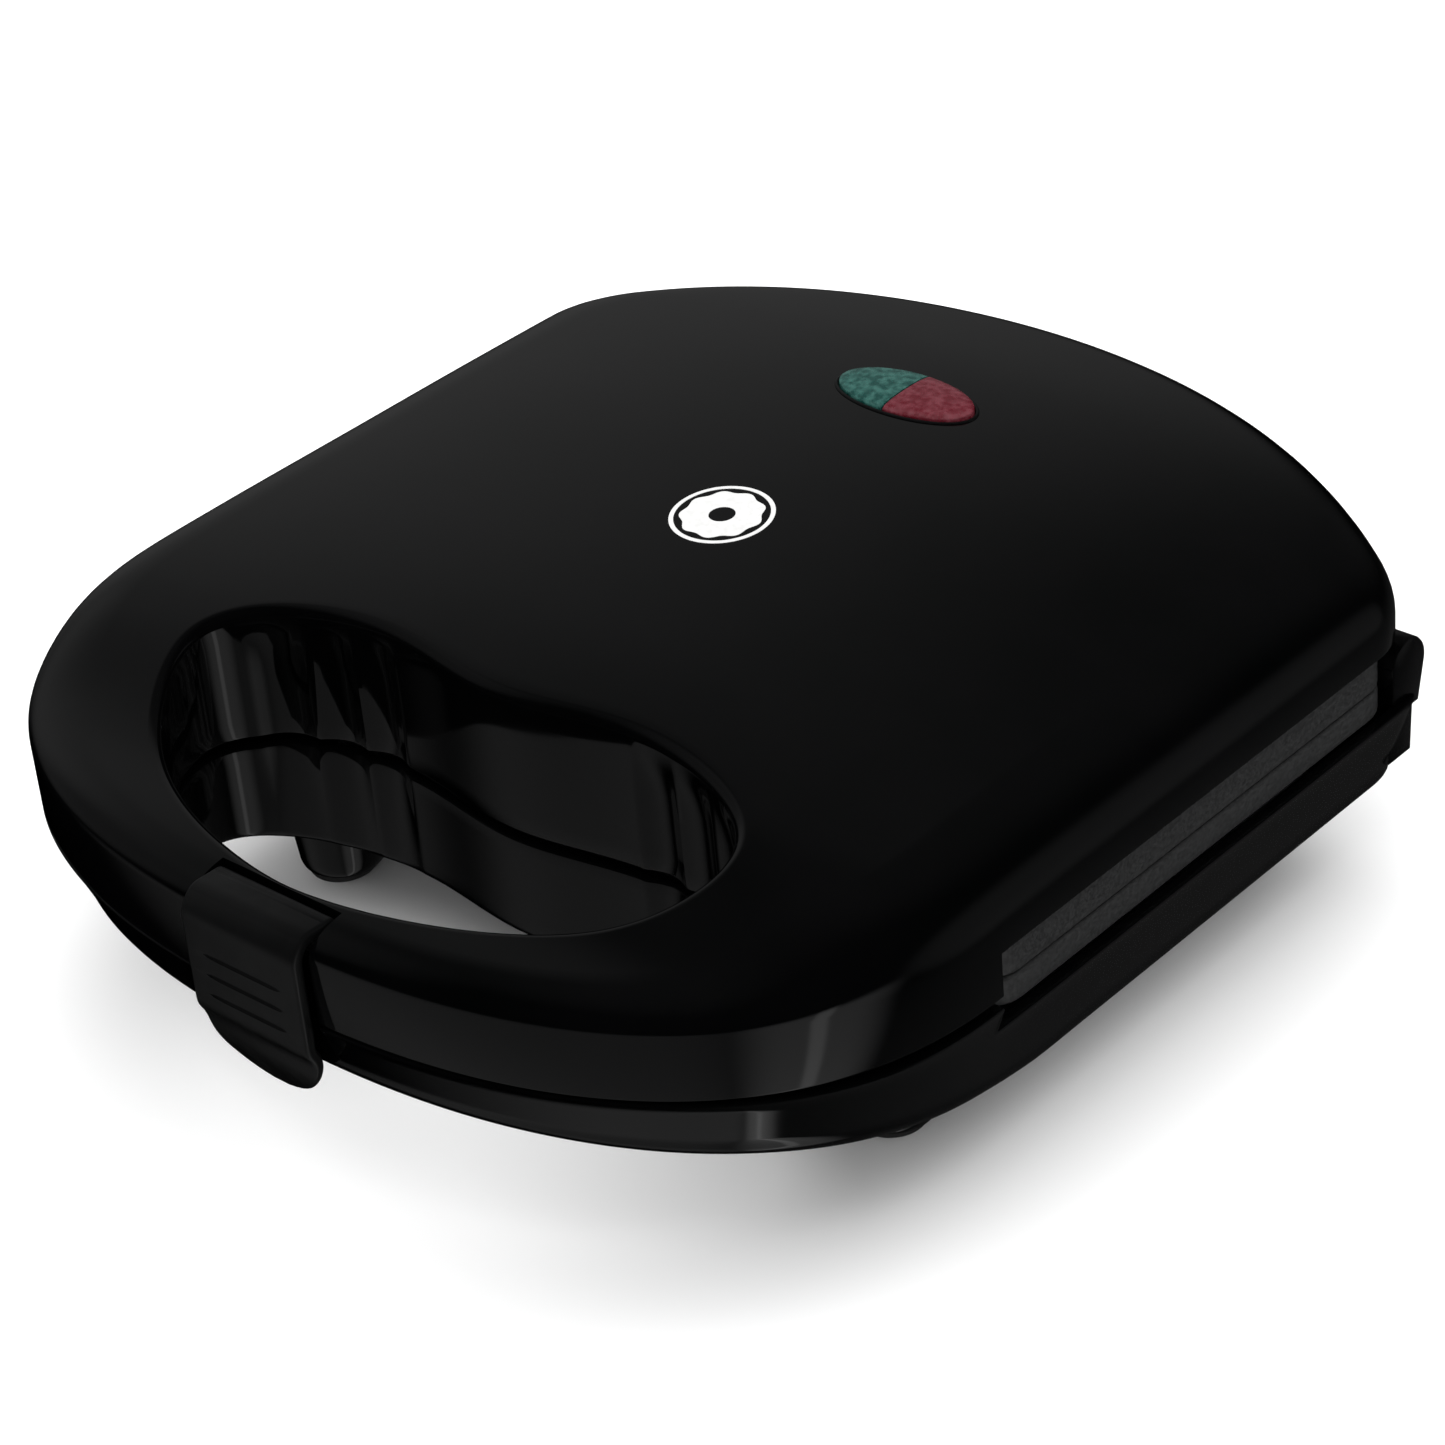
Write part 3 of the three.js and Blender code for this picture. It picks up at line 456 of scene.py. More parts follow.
def hinge_ears(body):
    """Rounded ears on both sides, which carry the hinge pins.

    The base's are towers that reach down its rear.
    """
    x0, x1 = HINGE_SPANS[body]
    if body == "lid":
        ears = [(knuckle_profile(HINGE_R - 0.2, 62, 5, 5), x1)]
    else:
        ears = [(knuckle_profile(HINGE_R, 36, 5.2, 3.4), x1),
                (knuckle_profile(HINGE_R - 0.3, 24, 4, 3.8), x1 - 2)]
    return [side_prism(f"{body}_ear", profile, min(s * x0, s * end), max(s * x0, s * end), 0.7)
            for profile, end in ears for s in (-1, 1)]


def lid_shell():
    points, faces = wrap(lid_skin(), closed=True)
    shell = solid("lid_shell", points, faces)
    window = lathe("lens_window", ((1, 60), (1, 100)), (0, LENS_Y, 0), 96,
                   scale=(LENS_HALF + 0.3, LENS_DEPTH + 0.3))
    boolean(shell, [latch_recess("recess"), window], "DIFFERENCE")
    return join_pieces("lid_shell", [shell, *hinge_ears("lid")])


BASE_ROUND = 3.6
BASE_INSET = np.array(((BASE_RIM_Z - BASE_FRONT_Z) * BASE_DRAFT,
                       (BASE_RIM_Z - BASE_FLOOR_Z) * BASE_DRAFT, 1.0))


def brim(y):
    t = np.clip((y - 8) / 52, 0, 1)
    return BASE_RIM_Z - BASE_RIM_DROP * t * t * (3 - 2 * t)


def base_wall(share, wall):
    """A ring of the base's drafted wall; share is 0 at its foot and 1 at the split."""
    low = outline(BASE_INSET + wall, flat_rear)
    high = outline((wall,) * 3, flat_rear)
    return low + (high - low) * np.reshape(share, (-1, 1))


def base_skin():
    edge = outline((0, 0, 0), flat_rear)
    grip = grip_ring(edge)
    out = normals(grip)
    scoop = flutes(grip)
    count = len(grip)
    belly = lambda p: height(BELLY, p[:, 1])
    rows = []

    def hole(grow, depth=0.0):
        return grip + out * (grow + scoop * depth)[:, None]

    rim_z = brim(grip[:, 1])
    for inset, drop in ((EDGE_ROUND, 0), (0.12, 0.16), (0, EDGE_ROUND)):
        rows.append(level(hole(np.full(count, inset), 1), rim_z - drop))
    grip_round = 2.0
    low_z = belly(grip) + grip_round
    for t in np.linspace(0, 1, 9)[1:]:
        rows.append(level(hole(np.zeros(count), 1 - t * 0.6), rim_z - EDGE_ROUND
                          + (low_z - rim_z + EDGE_ROUND) * t))
    for a in np.radians(np.linspace(15, 90, 6)):
        p = hole(np.full(count, grip_round * (1 - math.cos(a))), 0.4 * (1 - a / (np.pi / 2)))
        rows.append(level(p, belly(p) + grip_round * (1 - math.sin(a))))
    start = hole(np.full(count, grip_round))
    end = outline(BASE_INSET + BASE_ROUND, flat_rear)
    for t in np.linspace(0, 1, 34)[1:]:
        p = start + (end - start) * t
        rows.append(level(p, belly(p)))
    top = brim(edge[:, 1])
    stop = np.where(edge[:, 1] < STEP_Y, top, BASE_WALL_Z)
    foot = outline(BASE_INSET, flat_rear)
    foot_z = belly(foot) + BASE_ROUND
    for a in np.radians(np.linspace(15, 90, 7)):
        p = end + (foot - end) * math.sin(a)
        rows.append(level(p, belly(p) + BASE_ROUND * (1 - math.cos(a))))
    reach = (stop - foot_z) / (top - foot_z)
    for t in np.linspace(0, 1, 9)[1:]:
        share = reach * t
        z = foot_z + (top - foot_z) * share - (EDGE_ROUND if t == 1 else 0)
        rows.append(level(base_wall(share, 0), z))
    for inset, drop in ((0.12, 0.16), (EDGE_ROUND, 0), (WALL, 0)):
        rows.append(level(base_wall(reach, inset), stop - drop))
    inner_stop = len(rows)
    for t in (1, 0.5, 0):
        share = reach * t
        rows.append(level(base_wall(share, WALL), foot_z + (top - foot_z) * share - 0.01))
    inner_end = outline(BASE_INSET + BASE_ROUND + WALL, flat_rear)
    inner_start = hole(np.full(count, WALL), 0.4)
    for t in np.linspace(1, 0, 16):
        p = inner_start + (inner_end - inner_start) * t
        rows.append(level(p, belly(p) + WALL))
    rows.append(level(hole(np.full(count, WALL), 1), rim_z))
    core = (np.abs(grip[:, 0]) < CORE_HALF) & (grip[:, 1] < GRIP_Y)
    for r in rows[inner_stop:]:
        r[core, 2] = brim(r[core, 1])
    return rows


def foot_posts():
    profile = ((0.01, 23.5), (11, 23.5), (9.0, 5.2), (8.85, 3.6), (8.5, 2.5),
               (8.0, 1.9), (7.6, 1.8), (7.5, 1.9),
               (7.5, 3), (0.01, 3))
    return [lathe("post", profile, (s * FOOT_X, y, 0), 64) for y in FOOT_Y for s in (-1, 1)]


def base_shell():
    points, faces = wrap(base_skin(), closed=True)
    shell = solid("base_shell", points, faces)
    cuts = [latch_recess("recess"),
            lathe("gland_hole", ((5.7, 200), (5.7, 212)), (GLAND[0], 0, GLAND[1]), 48, "Y")]
    for y in (122, 152):
        for x in (-54, -18, 18, 54):
            cuts.append(side_prism("vent", [(y + 1.4 * math.cos(a), 18.5 + 5 * math.sin(a))
                                            for a in np.radians((-70, -50, 50, 70, 110, 130, 230, 250))],
                                   x - 12, x + 12))
    boolean(shell, cuts, "DIFFERENCE")
    return join_pieces("base_shell", [shell, *hinge_ears("base"), *foot_posts()])


# ---------------------------------------------------------------- cooking plates
def well_profile():
    """A ring well in section, as (radius, depth), from its middle peg out to its lip."""
    lip_angle = math.acos(WELL_LIP / WELL_DEPTH)
    inner = WELL_RING - WELL_SECTION * math.sin(lip_angle)
    outer = WELL_RING + WELL_SECTION * math.sin(lip_angle)
    quarter = np.radians(np.linspace(0, 80, 4))
    profile = [(0.01, 0), (4, 0)]
    profile += [(inner - WELL_LIP * (1 - math.sin(a)), WELL_LIP * (1 - math.cos(a))) for a in quarter]
    for a in np.linspace(-lip_angle, lip_angle, 25):
        profile.append((WELL_RING + WELL_SECTION * math.sin(a), WELL_DEPTH * math.cos(a)))
    profile += [(outer + WELL_LIP * (1 - math.sin(a)), WELL_LIP * (1 - math.cos(a))) for a in quarter[::-1]]
    return profile


def cell_border(x0, x1, y0, y1, cx, cy):
    """Points round a cell's rectangle, the same on any border that two cells share."""
    turns = [math.tan(a) for a in np.radians(np.linspace(-45, 45, 25))]
    right = [(x1, cy + (y1 - cy) * t if t > 0 else cy + (cy - y0) * t) for t in turns]
    top = [(cx + (x1 - cx) * t if t > 0 else cx + (cx - x0) * t, y1) for t in turns[::-1]]
    left = [(x0, y) for _, y in right[::-1]]
    low = [(x, y0) for x, _ in top[::-1]]
    ring = right[:-1] + top[:-1] + left[:-1] + low[:-1]
    return np.array(ring)


def plate_cell(bounds, centre, z_of):
    """One well and the land round it, as a grid of rings from the peg's middle to the cell's border."""
    border = cell_border(*bounds, *centre)
    turn = np.arctan2(*(border - centre)[:, ::-1].T)
    rows = []
    for r, depth in well_profile():
        p = np.column_stack((np.cos(turn), np.sin(turn))) * r + centre
        rows.append(level(p, z_of(depth)))
    rows.append(level(border, z_of(0)))
    points, faces = wrap(rows, closed=False)
    return points, faces[:-1]


def plate_rim(cells):
    """The points round all the cells, with their outward directions.

    A corner comes once for each step of its arc.
    """
    border = np.unique(np.round(np.vstack(cells), 6), axis=0)
    reach, low, high = border[:, 0].max(), border[:, 1].min(), border[:, 1].max()
    middle = (low + high) / 2
    across, depth = border.T
    outer = border[(np.abs(across) > reach - TOUCH) | (depth < low + TOUCH) | (depth > high - TOUCH)]
    order = np.argsort(np.arctan2(outer[:, 1] - middle, outer[:, 0]))
    points, ways = [], []
    for x, y in outer[order]:
        along_side, along_end = abs(x) > reach - TOUCH, abs(y - middle) > high - middle - TOUCH
        if along_side and along_end:
            first = {(1, 1): 0, (-1, 1): 90, (-1, -1): 180, (1, -1): 270}[np.sign(x), np.sign(y - middle)]
            turns = np.radians(first + np.linspace(0, 90, CORNER_FAN))
        else:
            turns = [math.atan2(0 if along_side else y - middle, x if along_side else 0)]
        points += [(x, y)] * len(turns)
        ways += [(math.cos(a), math.sin(a)) for a in turns]
    return np.array(points), np.array(ways)


def countersink(x, face, facing):
    """A plate screw's hole with its cone, as a solid to cut from the plate."""
    profile = [(SCREW_HOLE_R, -15), (SCREW_HOLE_R, -2.6), (SCREW_HEAD_R, 0.05), (SCREW_HEAD_R, 0.6)]
    if facing < 0:
        profile = profile[::-1]
    return lathe("countersink", [(r, face + facing * h) for r, h in profile], (x, PLATE_MID, 0), 40)


def cooking_plate(name, face, rim, facing):
    """Six wells as a grid, closed by a shell behind and a rounded rim, then countersunk.

    A well's lip reaches 2.5 mm past its cell at the plate's front or rear edge, and folds over there.
    """
    inner_x = PLATE_HALF - PLATE_CORNER
    columns = (-inner_x, -WELL_PITCH[0] / 2, WELL_PITCH[0] / 2, inner_x)
    lines = (PLATE_FRONT + PLATE_CORNER, PLATE_MID, PLATE_REAR - PLATE_CORNER)
    parts, borders = [], []
    for row in (0, 1):
        for column in (0, 1, 2):
            centre = ((column - 1) * WELL_PITCH[0], PLATE_MID + (row - 0.5) * WELL_PITCH[1])
            bounds = (columns[column], columns[column + 1], lines[row], lines[row + 1])
            borders.append(cell_border(*bounds, *centre))
            parts.append(plate_cell(bounds, centre, lambda d: face - facing * d))
            parts.append(plate_cell(bounds, centre, lambda d: face - facing * (d + PLATE_SHELL)))
    depth = abs(face - rim)
    quarter = np.radians((0, 30, 60, 90))
    band = [(0, 0)]
    band += [(PLATE_CORNER - PLATE_EDGE * (1 - math.sin(a)), PLATE_EDGE * (1 - math.cos(a))) for a in quarter]
    band += [(PLATE_CORNER, depth - 1.0), (PLATE_CORNER - 0.35, depth - 0.3), (PLATE_CORNER - 1, depth),
             (PLATE_CORNER - 2.6, depth), (PLATE_CORNER - 3, PLATE_SHELL), (0, PLATE_SHELL)]
    ring, ways = plate_rim(borders)
    points, faces = wrap([level(ring + ways * g, face - facing * d) for g, d in band], closed=False)
    parts.append((points, faces[:-2]))
    all_points, all_faces, count = [], [], 0
    for points, faces in parts:
        all_points.append(points)
        all_faces += [tuple(i + count for i in f) for f in faces]
        count += len(points)
    plate = solid(name, np.vstack(all_points), all_faces, 40)
    return boolean(plate, [countersink(x, face, facing) for x in SCREW_X], "DIFFERENCE")


# ---------------------------------------------------------------- latch
def rounded_bar(width, thick, corner=0.75, steps=5):
    """Section of the latch strap: X across it, depth below its outer face."""
    ring = []
    for cx, cy, start in ((width - corner, -corner, 0), (-width + corner, -corner, 90),
                          (-width + corner, corner - thick, 180), (width - corner, corner - thick, 270)):
        for a in np.radians(start + np.linspace(0, 90, steps)):
            ring.append((cx + corner * math.cos(a), cy + corner * math.sin(a)))
    return np.array(ring)


def smooth_path(points, corner=2.0, steps=7):
    """A polyline of (y, z) points with its corners rounded."""
    points = [np.array(p, float) for p in points]
    path = [points[0]]
    for before, at, after in zip(points, points[1:], points[2:]):
        reach = min(corner, np.linalg.norm(at - before) / 2.2, np.linalg.norm(after - at) / 2.2)
        a = at + (before - at) / np.linalg.norm(before - at) * reach
        b = at + (after - at) / np.linalg.norm(after - at) * reach
        path += [a * (1 - t) ** 2 + at * 2 * t * (1 - t) + b * t * t for t in np.linspace(0, 1, steps)]
    return np.array(path + [points[-1]])


def resample(path, step):
    run = np.r_[0, np.cumsum(np.linalg.norm(np.diff(path, axis=0), axis=1))]
    at = np.linspace(0, run[-1], int(run[-1] / step) + 1)
    return np.column_stack([np.interp(at, run, path[:, n]) for n in (0, 1)])


def latch_strap():
    face = LATCH_FACE
    corners = [(8.6, 63.4), (7.9, 65.5), (0.2, 65.75), (face, 62.2), (face, 41.6), (face + 1.5, 39.0),
               (face + 2.1, 34), (1.9, LATCH_TIP)]
    path = resample(smooth_path(corners, 2.2), 0.35)
    run = np.gradient(path, axis=0)
    run /= np.linalg.norm(run, axis=1)[:, None]
    out = np.column_stack((run[:, 1], -run[:, 0]))
    tongue = 40.2
    rows = []
    for (y, z), (oy, oz) in zip(path, out):
        width = LATCH_HALF
        if z < tongue:
            width *= math.sqrt(max(1 - ((tongue - z) / (tongue - LATCH_TIP + 0.2)) ** 2, 0.0016))
        thick = 2.5 if z > 45 else 2.5 - 0.9 * (45 - z) / (45 - LATCH_TIP)
        section = rounded_bar(width, thick, min(0.75, width * 0.6, thick * 0.45))
        rows.append(np.column_stack((section[:, 0], y + oy * section[:, 1], z + oz * section[:, 1])))
    points, faces = wrap(rows, closed=False)
    return solid("latch_strap", points, faces)


def latch_groove(z):
    """One tapered groove across the latch's face."""
    rows = []
    for t in np.linspace(-1, 1, 25):
        r = 0.52 * math.sqrt(max(1 - abs(t) ** 6, 0.004))
        a = np.linspace(0, 2 * np.pi, 12, endpoint=False)
        rows.append(np.column_stack((np.full(12, t * 9.8), LATCH_FACE + r * np.cos(a), z + r * np.sin(a))))
    points, faces = wrap(rows, closed=False)
    return solid("groove", points, faces)


def make_latch():
    strap = latch_strap()
    boolean(strap, [latch_groove(54.1 - 4.35 * n) for n in range(3)], "DIFFERENCE")
    barrel = lathe("barrel", ((1.3, -LATCH_HALF + 0.4), (LATCH_R - 0.3, -LATCH_HALF + 0.4),
                              (LATCH_R - 0.1, -LATCH_HALF + 0.7), (LATCH_R - 0.1, LATCH_HALF - 0.7),
                              (LATCH_R - 0.3, LATCH_HALF - 0.4), (1.3, LATCH_HALF - 0.4)),
                   (0, LATCH_Y, LATCH_Z), 40, "X")
    return join_pieces("latch_clip", [strap, barrel])


# ---------------------------------------------------------------- lens, mark, feet
LENS_Z = lens_high.z / MM - 1.9


def lens_half(name, side):
    profile = [(0.001, -3.4), (1, -3.4), (1, 0.55)]
    profile += [(1 - 0.05 * (1 - math.cos(a)), 0.55 + 0.45 * math.sin(a)) for a in np.radians((25, 50, 75))]
    profile += [(0.95 * math.cos(a), 1.0 + 0.9 * math.sin(a)) for a in np.radians(np.linspace(5, 89.9, 14))]
    dome = lathe(name, profile, (0, LENS_Y, LENS_Z), 120, scale=(LENS_HALF, LENS_DEPTH))
    x0, x1 = (0.18, 30) if side > 0 else (-30, -0.18)
    keep = side_prism("keep", ((150, 60), (220, 60), (220, 100), (150, 100)), x0, x1)
    return boolean(dome, [keep], "INTERSECT")


def lens_bezel():
    """The thin raised lip that the lens sits in."""
    a = np.linspace(0, 2 * np.pi, 128, endpoint=False)
    rows = []
    for t in np.radians(np.linspace(0, 360, 12, endpoint=False)):
        grow = 0.55 + 0.4 * math.cos(t)
        p = np.column_stack(((LENS_HALF + grow) * np.cos(a), LENS_Y + (LENS_DEPTH + grow) * np.sin(a)))
        rows.append(level(p, lid_top(p) + 0.05 + 0.3 * math.sin(t)))
    points, faces = wrap(rows, closed=True)
    return solid("lens_bezel", points, faces)


MARK_Y, MARK_THICK = 128, 0.07


def printed_ring(name, inner, outer, wave=0.0):
    """A flat printed ring on the lid's top, with an optional wavy outer edge."""
    a = np.linspace(0, 2 * np.pi, 160, endpoint=False)
    rows = []
    for r, lift in ((inner, 0), (inner, 1), (outer, 1), (outer, 0)):
        ripple = 1 + (wave * np.sin(a * 9) if r == outer else 0)
        p = np.column_stack((r * ripple * np.cos(a), MARK_Y + r * ripple * np.sin(a)))
        rows.append(level(p, lid_top(p) + MARK_THICK * (lift - 0.5) + MARK_THICK / 2))
    points, faces = wrap(rows, closed=True)
    return solid(name, points, faces)


def make_mark():
    rings = [printed_ring("ring", 9.3, 10.2), printed_ring("ring", 2.6, 8.0, 0.045)]
    return join_pieces("printed_mark", rings)


def foot_pad(name, x, y):
    low, high = pad_low.z / MM, pad_high.z / MM
    profile = ((0.01, low), (6.0, low), (6.7, low + 0.3), (7.05, low + 1.0), (7.15, high), (0.01, high))
    return lathe(name, profile, (x, y, 0), 64)


# ---------------------------------------------------------------- materials
class Finish:
    """A Principled material whose nodes are added by short calls."""

    def __init__(self, name, **values):
        self.material = bpy.data.materials.new(name)
        self.material.use_nodes = True
        self.tree = self.material.node_tree
        self.shader = self.tree.nodes["Principled BSDF"]
        for socket, value in values.items():
            self.shader.inputs[socket.replace("_", " ")].default_value = value
        self.where = self.tree.nodes.new("ShaderNodeTexCoord").outputs["Object"]

    def noise(self, scale, detail=2.0, stretch=(1, 1, 1)):
        place_at = self.tree.nodes.new("ShaderNodeMapping")
        place_at.inputs["Scale"].default_value = stretch
        self.tree.links.new(self.where, place_at.inputs["Vector"])
        node = self.tree.nodes.new("ShaderNodeTexNoise")
        node.inputs["Scale"].default_value = scale
        node.inputs["Detail"].default_value = detail
        self.tree.links.new(place_at.outputs["Vector"], node.inputs["Vector"])
        return node.outputs["Fac"]

    def spread(self, source, low, high, start=0.3, stop=0.7):
        node = self.tree.nodes.new("ShaderNodeMapRange")
        for socket, value in (("From Min", start), ("From Max", stop), ("To Min", low), ("To Max", high)):
            node.inputs[socket].default_value = value
        self.tree.links.new(source, node.inputs["Value"])
        return node.outputs["Result"]

    def colours(self, source, dark, light, start=0.3, stop=0.7):
        ramp = self.tree.nodes.new("ShaderNodeValToRGB")
        ramp.color_ramp.elements[0].position, ramp.color_ramp.elements[1].position = start, stop
        ramp.color_ramp.elements[0].color, ramp.color_ramp.elements[1].color = (*dark, 1), (*light, 1)
        self.tree.links.new(source, ramp.inputs["Fac"])
        self.tree.links.new(ramp.outputs["Color"], self.shader.inputs["Base Color"])

    def roughness(self, source, low, high):
        self.tree.links.new(self.spread(source, low, high), self.shader.inputs["Roughness"])

    def bump(self, source, strength, depth):
        node = self.tree.nodes.new("ShaderNodeBump")
        node.inputs["Strength"].default_value = strength
        node.inputs["Distance"].default_value = depth
        self.tree.links.new(source, node.inputs["Height"])
        self.tree.links.new(node.outputs["Normal"], self.shader.inputs["Normal"])


def gloss_black():
    f = Finish("gloss_black", IOR=1.46, Specular_IOR_Level=0.5)
    f.colours(f.noise(40, 3), (0.0004, 0.0005, 0.0005), (0.0008, 0.0008, 0.0009))
    f.roughness(f.noise(70, 5), 0.045, 0.085)
    f.bump(f.noise(260, 1), 0.012, 0.0001)
    return f.material


def satin_black():
    f = Finish("satin_black", IOR=1.48, Specular_IOR_Level=0.4)
    f.colours(f.noise(90, 4), (0.0016, 0.0017, 0.0018), (0.0028, 0.0029, 0.003))
    f.roughness(f.noise(260, 4), 0.3, 0.42)
    f.bump(f.noise(3800, 3), 0.12, 0.00005)
    return f.material


def nonstick():
    f = Finish("nonstick", IOR=1.5, Metallic=0.0)
    f.colours(f.noise(1500, 5), (0.012, 0.0122, 0.0125), (0.026, 0.0265, 0.027), 0.35, 0.72)
    f.roughness(f.noise(600, 4), 0.42, 0.58)
    f.bump(f.noise(2400, 4), 0.22, 0.00008)
    return f.material


def bright_metal(name, dark, light, rough, stretch):
    f = Finish(name, Metallic=1.0)
    f.colours(f.noise(120, 4), dark, light)
    f.roughness(f.noise(300, 5, stretch), *rough)
    f.bump(f.noise(900, 3, stretch), 0.08, 0.00008)
    return f.material


def rubber():
    f = Finish("rubber", IOR=1.5)
    f.colours(f.noise(200, 4), (0.006, 0.006, 0.006), (0.014, 0.014, 0.0135))
    f.roughness(f.noise(500, 3), 0.7, 0.9)
    f.bump(f.noise(2500, 4), 0.3, 0.0001)
    return f.material


def ceramic():
    f = Finish("ceramic", IOR=1.5)
    f.colours(f.noise(150, 4), (0.52, 0.48, 0.4), (0.66, 0.62, 0.54))
    f.roughness(f.noise(400, 4), 0.5, 0.7)
    f.bump(f.noise(1500, 4), 0.2, 0.0001)
    return f.material


def lens_plastic(name, dark, light):
    f = Finish(name, IOR=1.49, Transmission_Weight=0.25, Coat_Weight=0.4, Coat_Roughness=0.08)
    facets = f.noise(620, 3)
    f.colours(facets, dark, light, 0.38, 0.66)
    f.roughness(f.noise(900, 3), 0.2, 0.38)
    f.bump(facets, 0.35, 0.0003)
    return f.material


def lamp_glass():
    f = Finish("lamp_glass", IOR=1.45, Transmission_Weight=0.8)
    f.colours(f.noise(300, 3), (0.7, 0.5, 0.4), (0.9, 0.75, 0.62))
    f.roughness(f.noise(300, 3), 0.05, 0.15)
    return f.material


def white_ink():
    f = Finish("white_ink", IOR=1.45)
    f.colours(f.noise(700, 4), (0.55, 0.55, 0.545), (0.64, 0.64, 0.635))
    f.roughness(f.noise(800, 3), 0.4, 0.55)
    f.bump(f.noise(3000, 3), 0.1, 0.00003)
    return f.material


def make_finishes():
    return {
        "gloss_black": gloss_black(),
        "satin_black": satin_black(),
        "nonstick": nonstick(),
        "steel": bright_metal("steel", (0.44, 0.44, 0.45), (0.6, 0.6, 0.61), (0.24, 0.4), (1, 1, 6)),
        "zinc": bright_metal("zinc", (0.36, 0.37, 0.38), (0.5, 0.51, 0.52), (0.34, 0.52), (5, 1, 1)),
        "rubber": rubber(),
        "ceramic": ceramic(),
        "lens_green": lens_plastic("lens_green", (0.003, 0.05, 0.042), (0.035, 0.13, 0.11)),
        "lens_red": lens_plastic("lens_red", (0.10, 0.005, 0.012), (0.16, 0.03, 0.042)),
        "lamp_glass": lamp_glass(),
    }


# ---------------------------------------------------------------- camera, floor and light
def camera():
    """The photo's viewpoint in metres, fitted to the object's outlines."""
    data = bpy.data.cameras.new("camera")
    data.lens = 108.1
    data.sensor_width = 36
    eye = bpy.data.objects.new("camera", data)
    right = Vector((0.7492335, 0.65710235, -0.08285927))
    up = Vector((-0.30147903, 0.44976297, 0.84072806))
    back = Vector((0.58971142, -0.6049213, 0.53508006))
    turn = Matrix((right, up, back)).transposed().to_4x4()
    eye.matrix_world = Matrix.Translation((0.49455, -0.50256, 0.48751)) @ turn
    bpy.context.scene.collection.objects.link(eye)
    bpy.context.scene.camera = eye


def floor():
    half = 40
    mesh = bpy.data.meshes.new("floor")
    corners = [(-half, -half, 0), (half, -half, 0), (half, half, 0), (-half, half, 0)]
    mesh.from_pydata(corners, [], [(0, 1, 2, 3)])
    ground = bpy.data.objects.new("floor", mesh)
    bpy.context.scene.collection.objects.link(ground)
    f = Finish("floor", Roughness=0.9, Specular_IOR_Level=0.1)
    f.colours(f.noise(3, 2), (0.9, 0.9, 0.9), (0.93, 0.93, 0.93))
    mesh.materials.append(f.material)
    ground.visible_glossy = False


def area(name, position, size, power, glossy=True):
    data = bpy.data.lights.new(name, "AREA")
    data.shape = "RECTANGLE"
    data.size, data.size_y = size
    data.energy = power
    light = bpy.data.objects.new(name, data)
    bpy.context.scene.collection.objects.link(light)
    light.location = position
    light.rotation_euler = (Vector((0, 0, 0.04)) - Vector(position)).to_track_quat("-Z", "Y").to_euler()
    light.visible_glossy = glossy
    return light


# light seen in the gloss: direction, cosines where it starts and is full, brightness
SKY_FILL = 1.0
SKY_PATCHES = (
    ((-0.80, 0.54, 0.26), (0.78, 0.995), 0.125),
    ((-0.4, 0.62, 0.68), (0.55, 0.95), 0.04),
    ((-0.8, -0.2, 0.45), (0.80, 0.97), 0.10),
    ((0.84, 0.54, 0.02), (0.86, 0.99), 0.11),
    ((0.3, 0.62, -0.72), (0.6, 0.95), 0.035),
)
# upright bands: compass direction, cosines, height of the ray where it starts and is full, brightness
SKY_BANDS = (
    ((0.95, -0.31), (0.86, 0.995), (0.0, -0.3), 0.42),
    ((0.95, -0.31), (0.9975, 0.9997), (0.0, -0.2), 0.50),
    ((-0.1, -0.99), (0.3, 0.9), (-0.05, -0.35), 0.17),
)


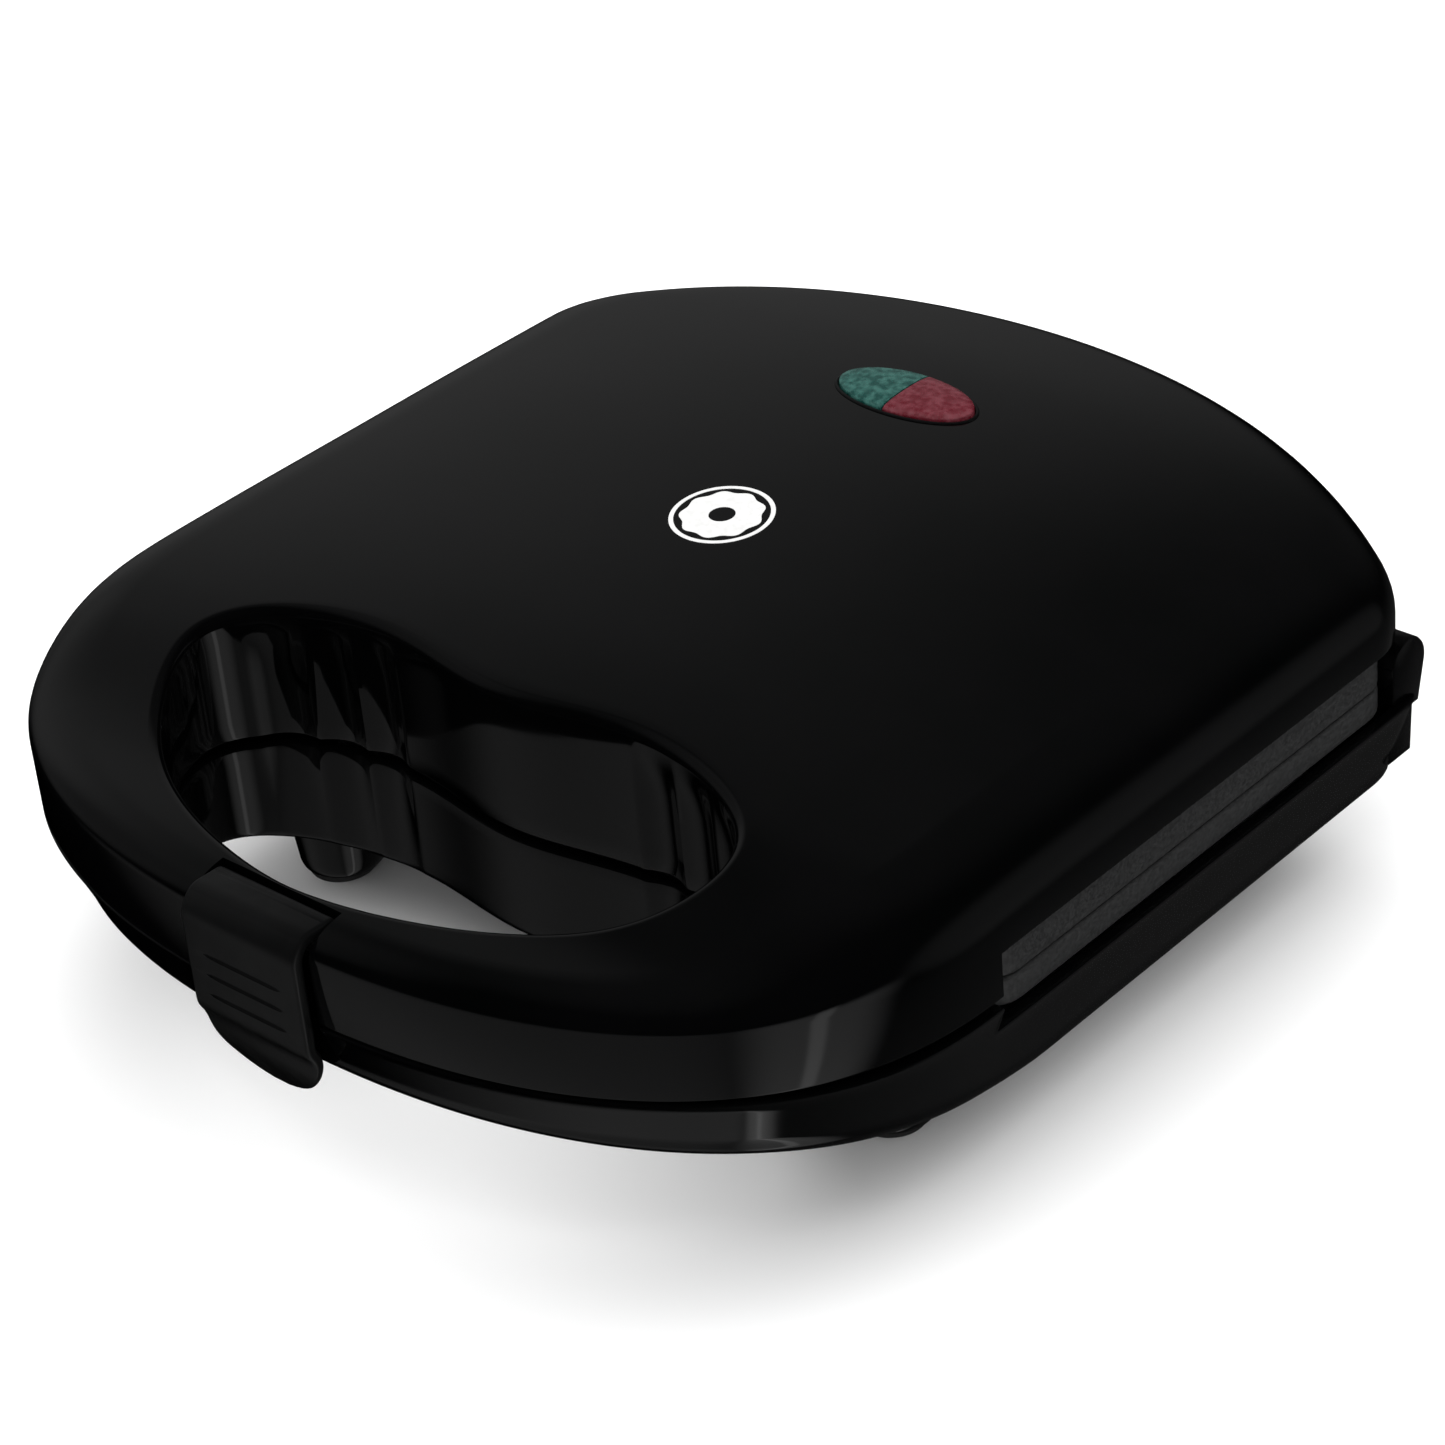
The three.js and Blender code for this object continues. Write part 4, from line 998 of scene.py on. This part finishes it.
def sky():
    """Soft surroundings that only the gloss sees, light and dark by direction.

    Everything else gets an even fill.
    """
    world = bpy.data.worlds.new("studio")
    world.use_nodes = True
    bpy.context.scene.world = world
    tree = world.node_tree
    link = tree.links.new
    shade = tree.nodes["Background"]
    shade.inputs["Strength"].default_value = 1.0
    where = tree.nodes.new("ShaderNodeTexCoord").outputs["Generated"]

    def vector_math(operation, first, second=None):
        node = tree.nodes.new("ShaderNodeVectorMath")
        node.operation = operation
        link(first, node.inputs[0])
        if second:
            length = math.sqrt(sum(c * c for c in second)) if operation == "DOT_PRODUCT" else 1
            node.inputs[1].default_value = [c / length for c in second]
        return node.outputs["Value" if operation == "DOT_PRODUCT" else "Vector"]

    def ramp(source, start, stop, bright):
        node = tree.nodes.new("ShaderNodeMapRange")
        node.interpolation_type = "SMOOTHSTEP"
        for socket, value in (("From Min", start), ("From Max", stop), ("To Min", 0), ("To Max", bright)):
            node.inputs[socket].default_value = value
        link(source, node.inputs["Value"])
        return node.outputs["Result"]

    def combine(operation, first, second):
        node = tree.nodes.new("ShaderNodeMath")
        node.operation = operation
        link(first, node.inputs[0])
        link(second, node.inputs[1])
        return node.outputs["Value"]

    glows = [ramp(vector_math("DOT_PRODUCT", where, d), *edge, bright) for d, edge, bright in SKY_PATCHES]
    level_way = vector_math("NORMALIZE", vector_math("MULTIPLY", where, (1, 1, 0)))
    rise = vector_math("DOT_PRODUCT", where, (0, 0, 1))
    for (x, y), edge, (start, stop), bright in SKY_BANDS:
        across = ramp(vector_math("DOT_PRODUCT", level_way, (x, y, 0)), *edge, bright)
        drop = combine("SUBTRACT", ramp(rise, -1.01, -1.0, 1.0), ramp(rise, stop, start, 1.0))
        glows.append(combine("MULTIPLY", across, drop))
    total = glows[0]
    for glow in glows[1:]:
        total = combine("ADD", total, glow)
    glossy = tree.nodes.new("ShaderNodeLightPath").outputs["Is Glossy Ray"]
    pick = tree.nodes.new("ShaderNodeMapRange")
    pick.inputs["To Min"].default_value = SKY_FILL
    link(glossy, pick.inputs["Value"])
    link(total, pick.inputs["To Max"])
    link(pick.outputs["Result"], shade.inputs["Color"])


def lights():
    area("overhead", (0.1, 0.1, 2.2), (3.4, 3.4), 66, glossy=False)


# ---------------------------------------------------------------- assembly
def show(piece, body, slot, finish, *nodes):
    piece.data.materials.clear()
    piece.data.materials.append(finish)
    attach(piece, body)
    if nodes:
        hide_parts(*nodes)


bpy.context.scene.view_settings.view_transform = "Standard"
camera()
floor()
sky()
lights()
finishes = make_finishes()
slots = {row["node"]: row["material_slot"] for row in frame["record"]["subparts"]}
for node, piece in frame["nodes"].items():
    piece.data.materials.clear()
    piece.data.materials.append(finishes[slots[node]])

show(lid_shell(), "lid", "gloss_black", finishes["gloss_black"], "lid_housing")
show(base_shell(), "base", "gloss_black", finishes["gloss_black"], "base_housing")
lower = cooking_plate("lower_cooking_plate", LOWER_FACE_Z, LOWER_RIM_Z, 1)
show(lower, "base", "nonstick", finishes["nonstick"], "lower_plate")
upper = cooking_plate("upper_cooking_plate", UPPER_FACE_Z, UPPER_RIM_Z, -1)
show(upper, "lid", "nonstick", finishes["nonstick"], "upper_plate")
show(make_latch(), "latch", "satin_black", finishes["satin_black"], "latch")
show(lens_half("lens_left_half", -1), "lid", "lens_green", finishes["lens_green"], "lens_green")
show(lens_half("lens_right_half", 1), "lid", "lens_red", finishes["lens_red"], "lens_red")
show(lens_bezel(), "lid", "satin_black", finishes["satin_black"])
show(make_mark(), "lid", "ceramic", white_ink())
for node in [n for n in frame["nodes"] if n.startswith("foot_pad_")]:
    low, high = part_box(node)
    middle = (low + high) / 2
    pad = foot_pad(node.replace("foot_pad", "rubber_pad"), middle.x / MM, along(middle.y))
    show(pad, "base", "rubber", finishes["rubber"], node)
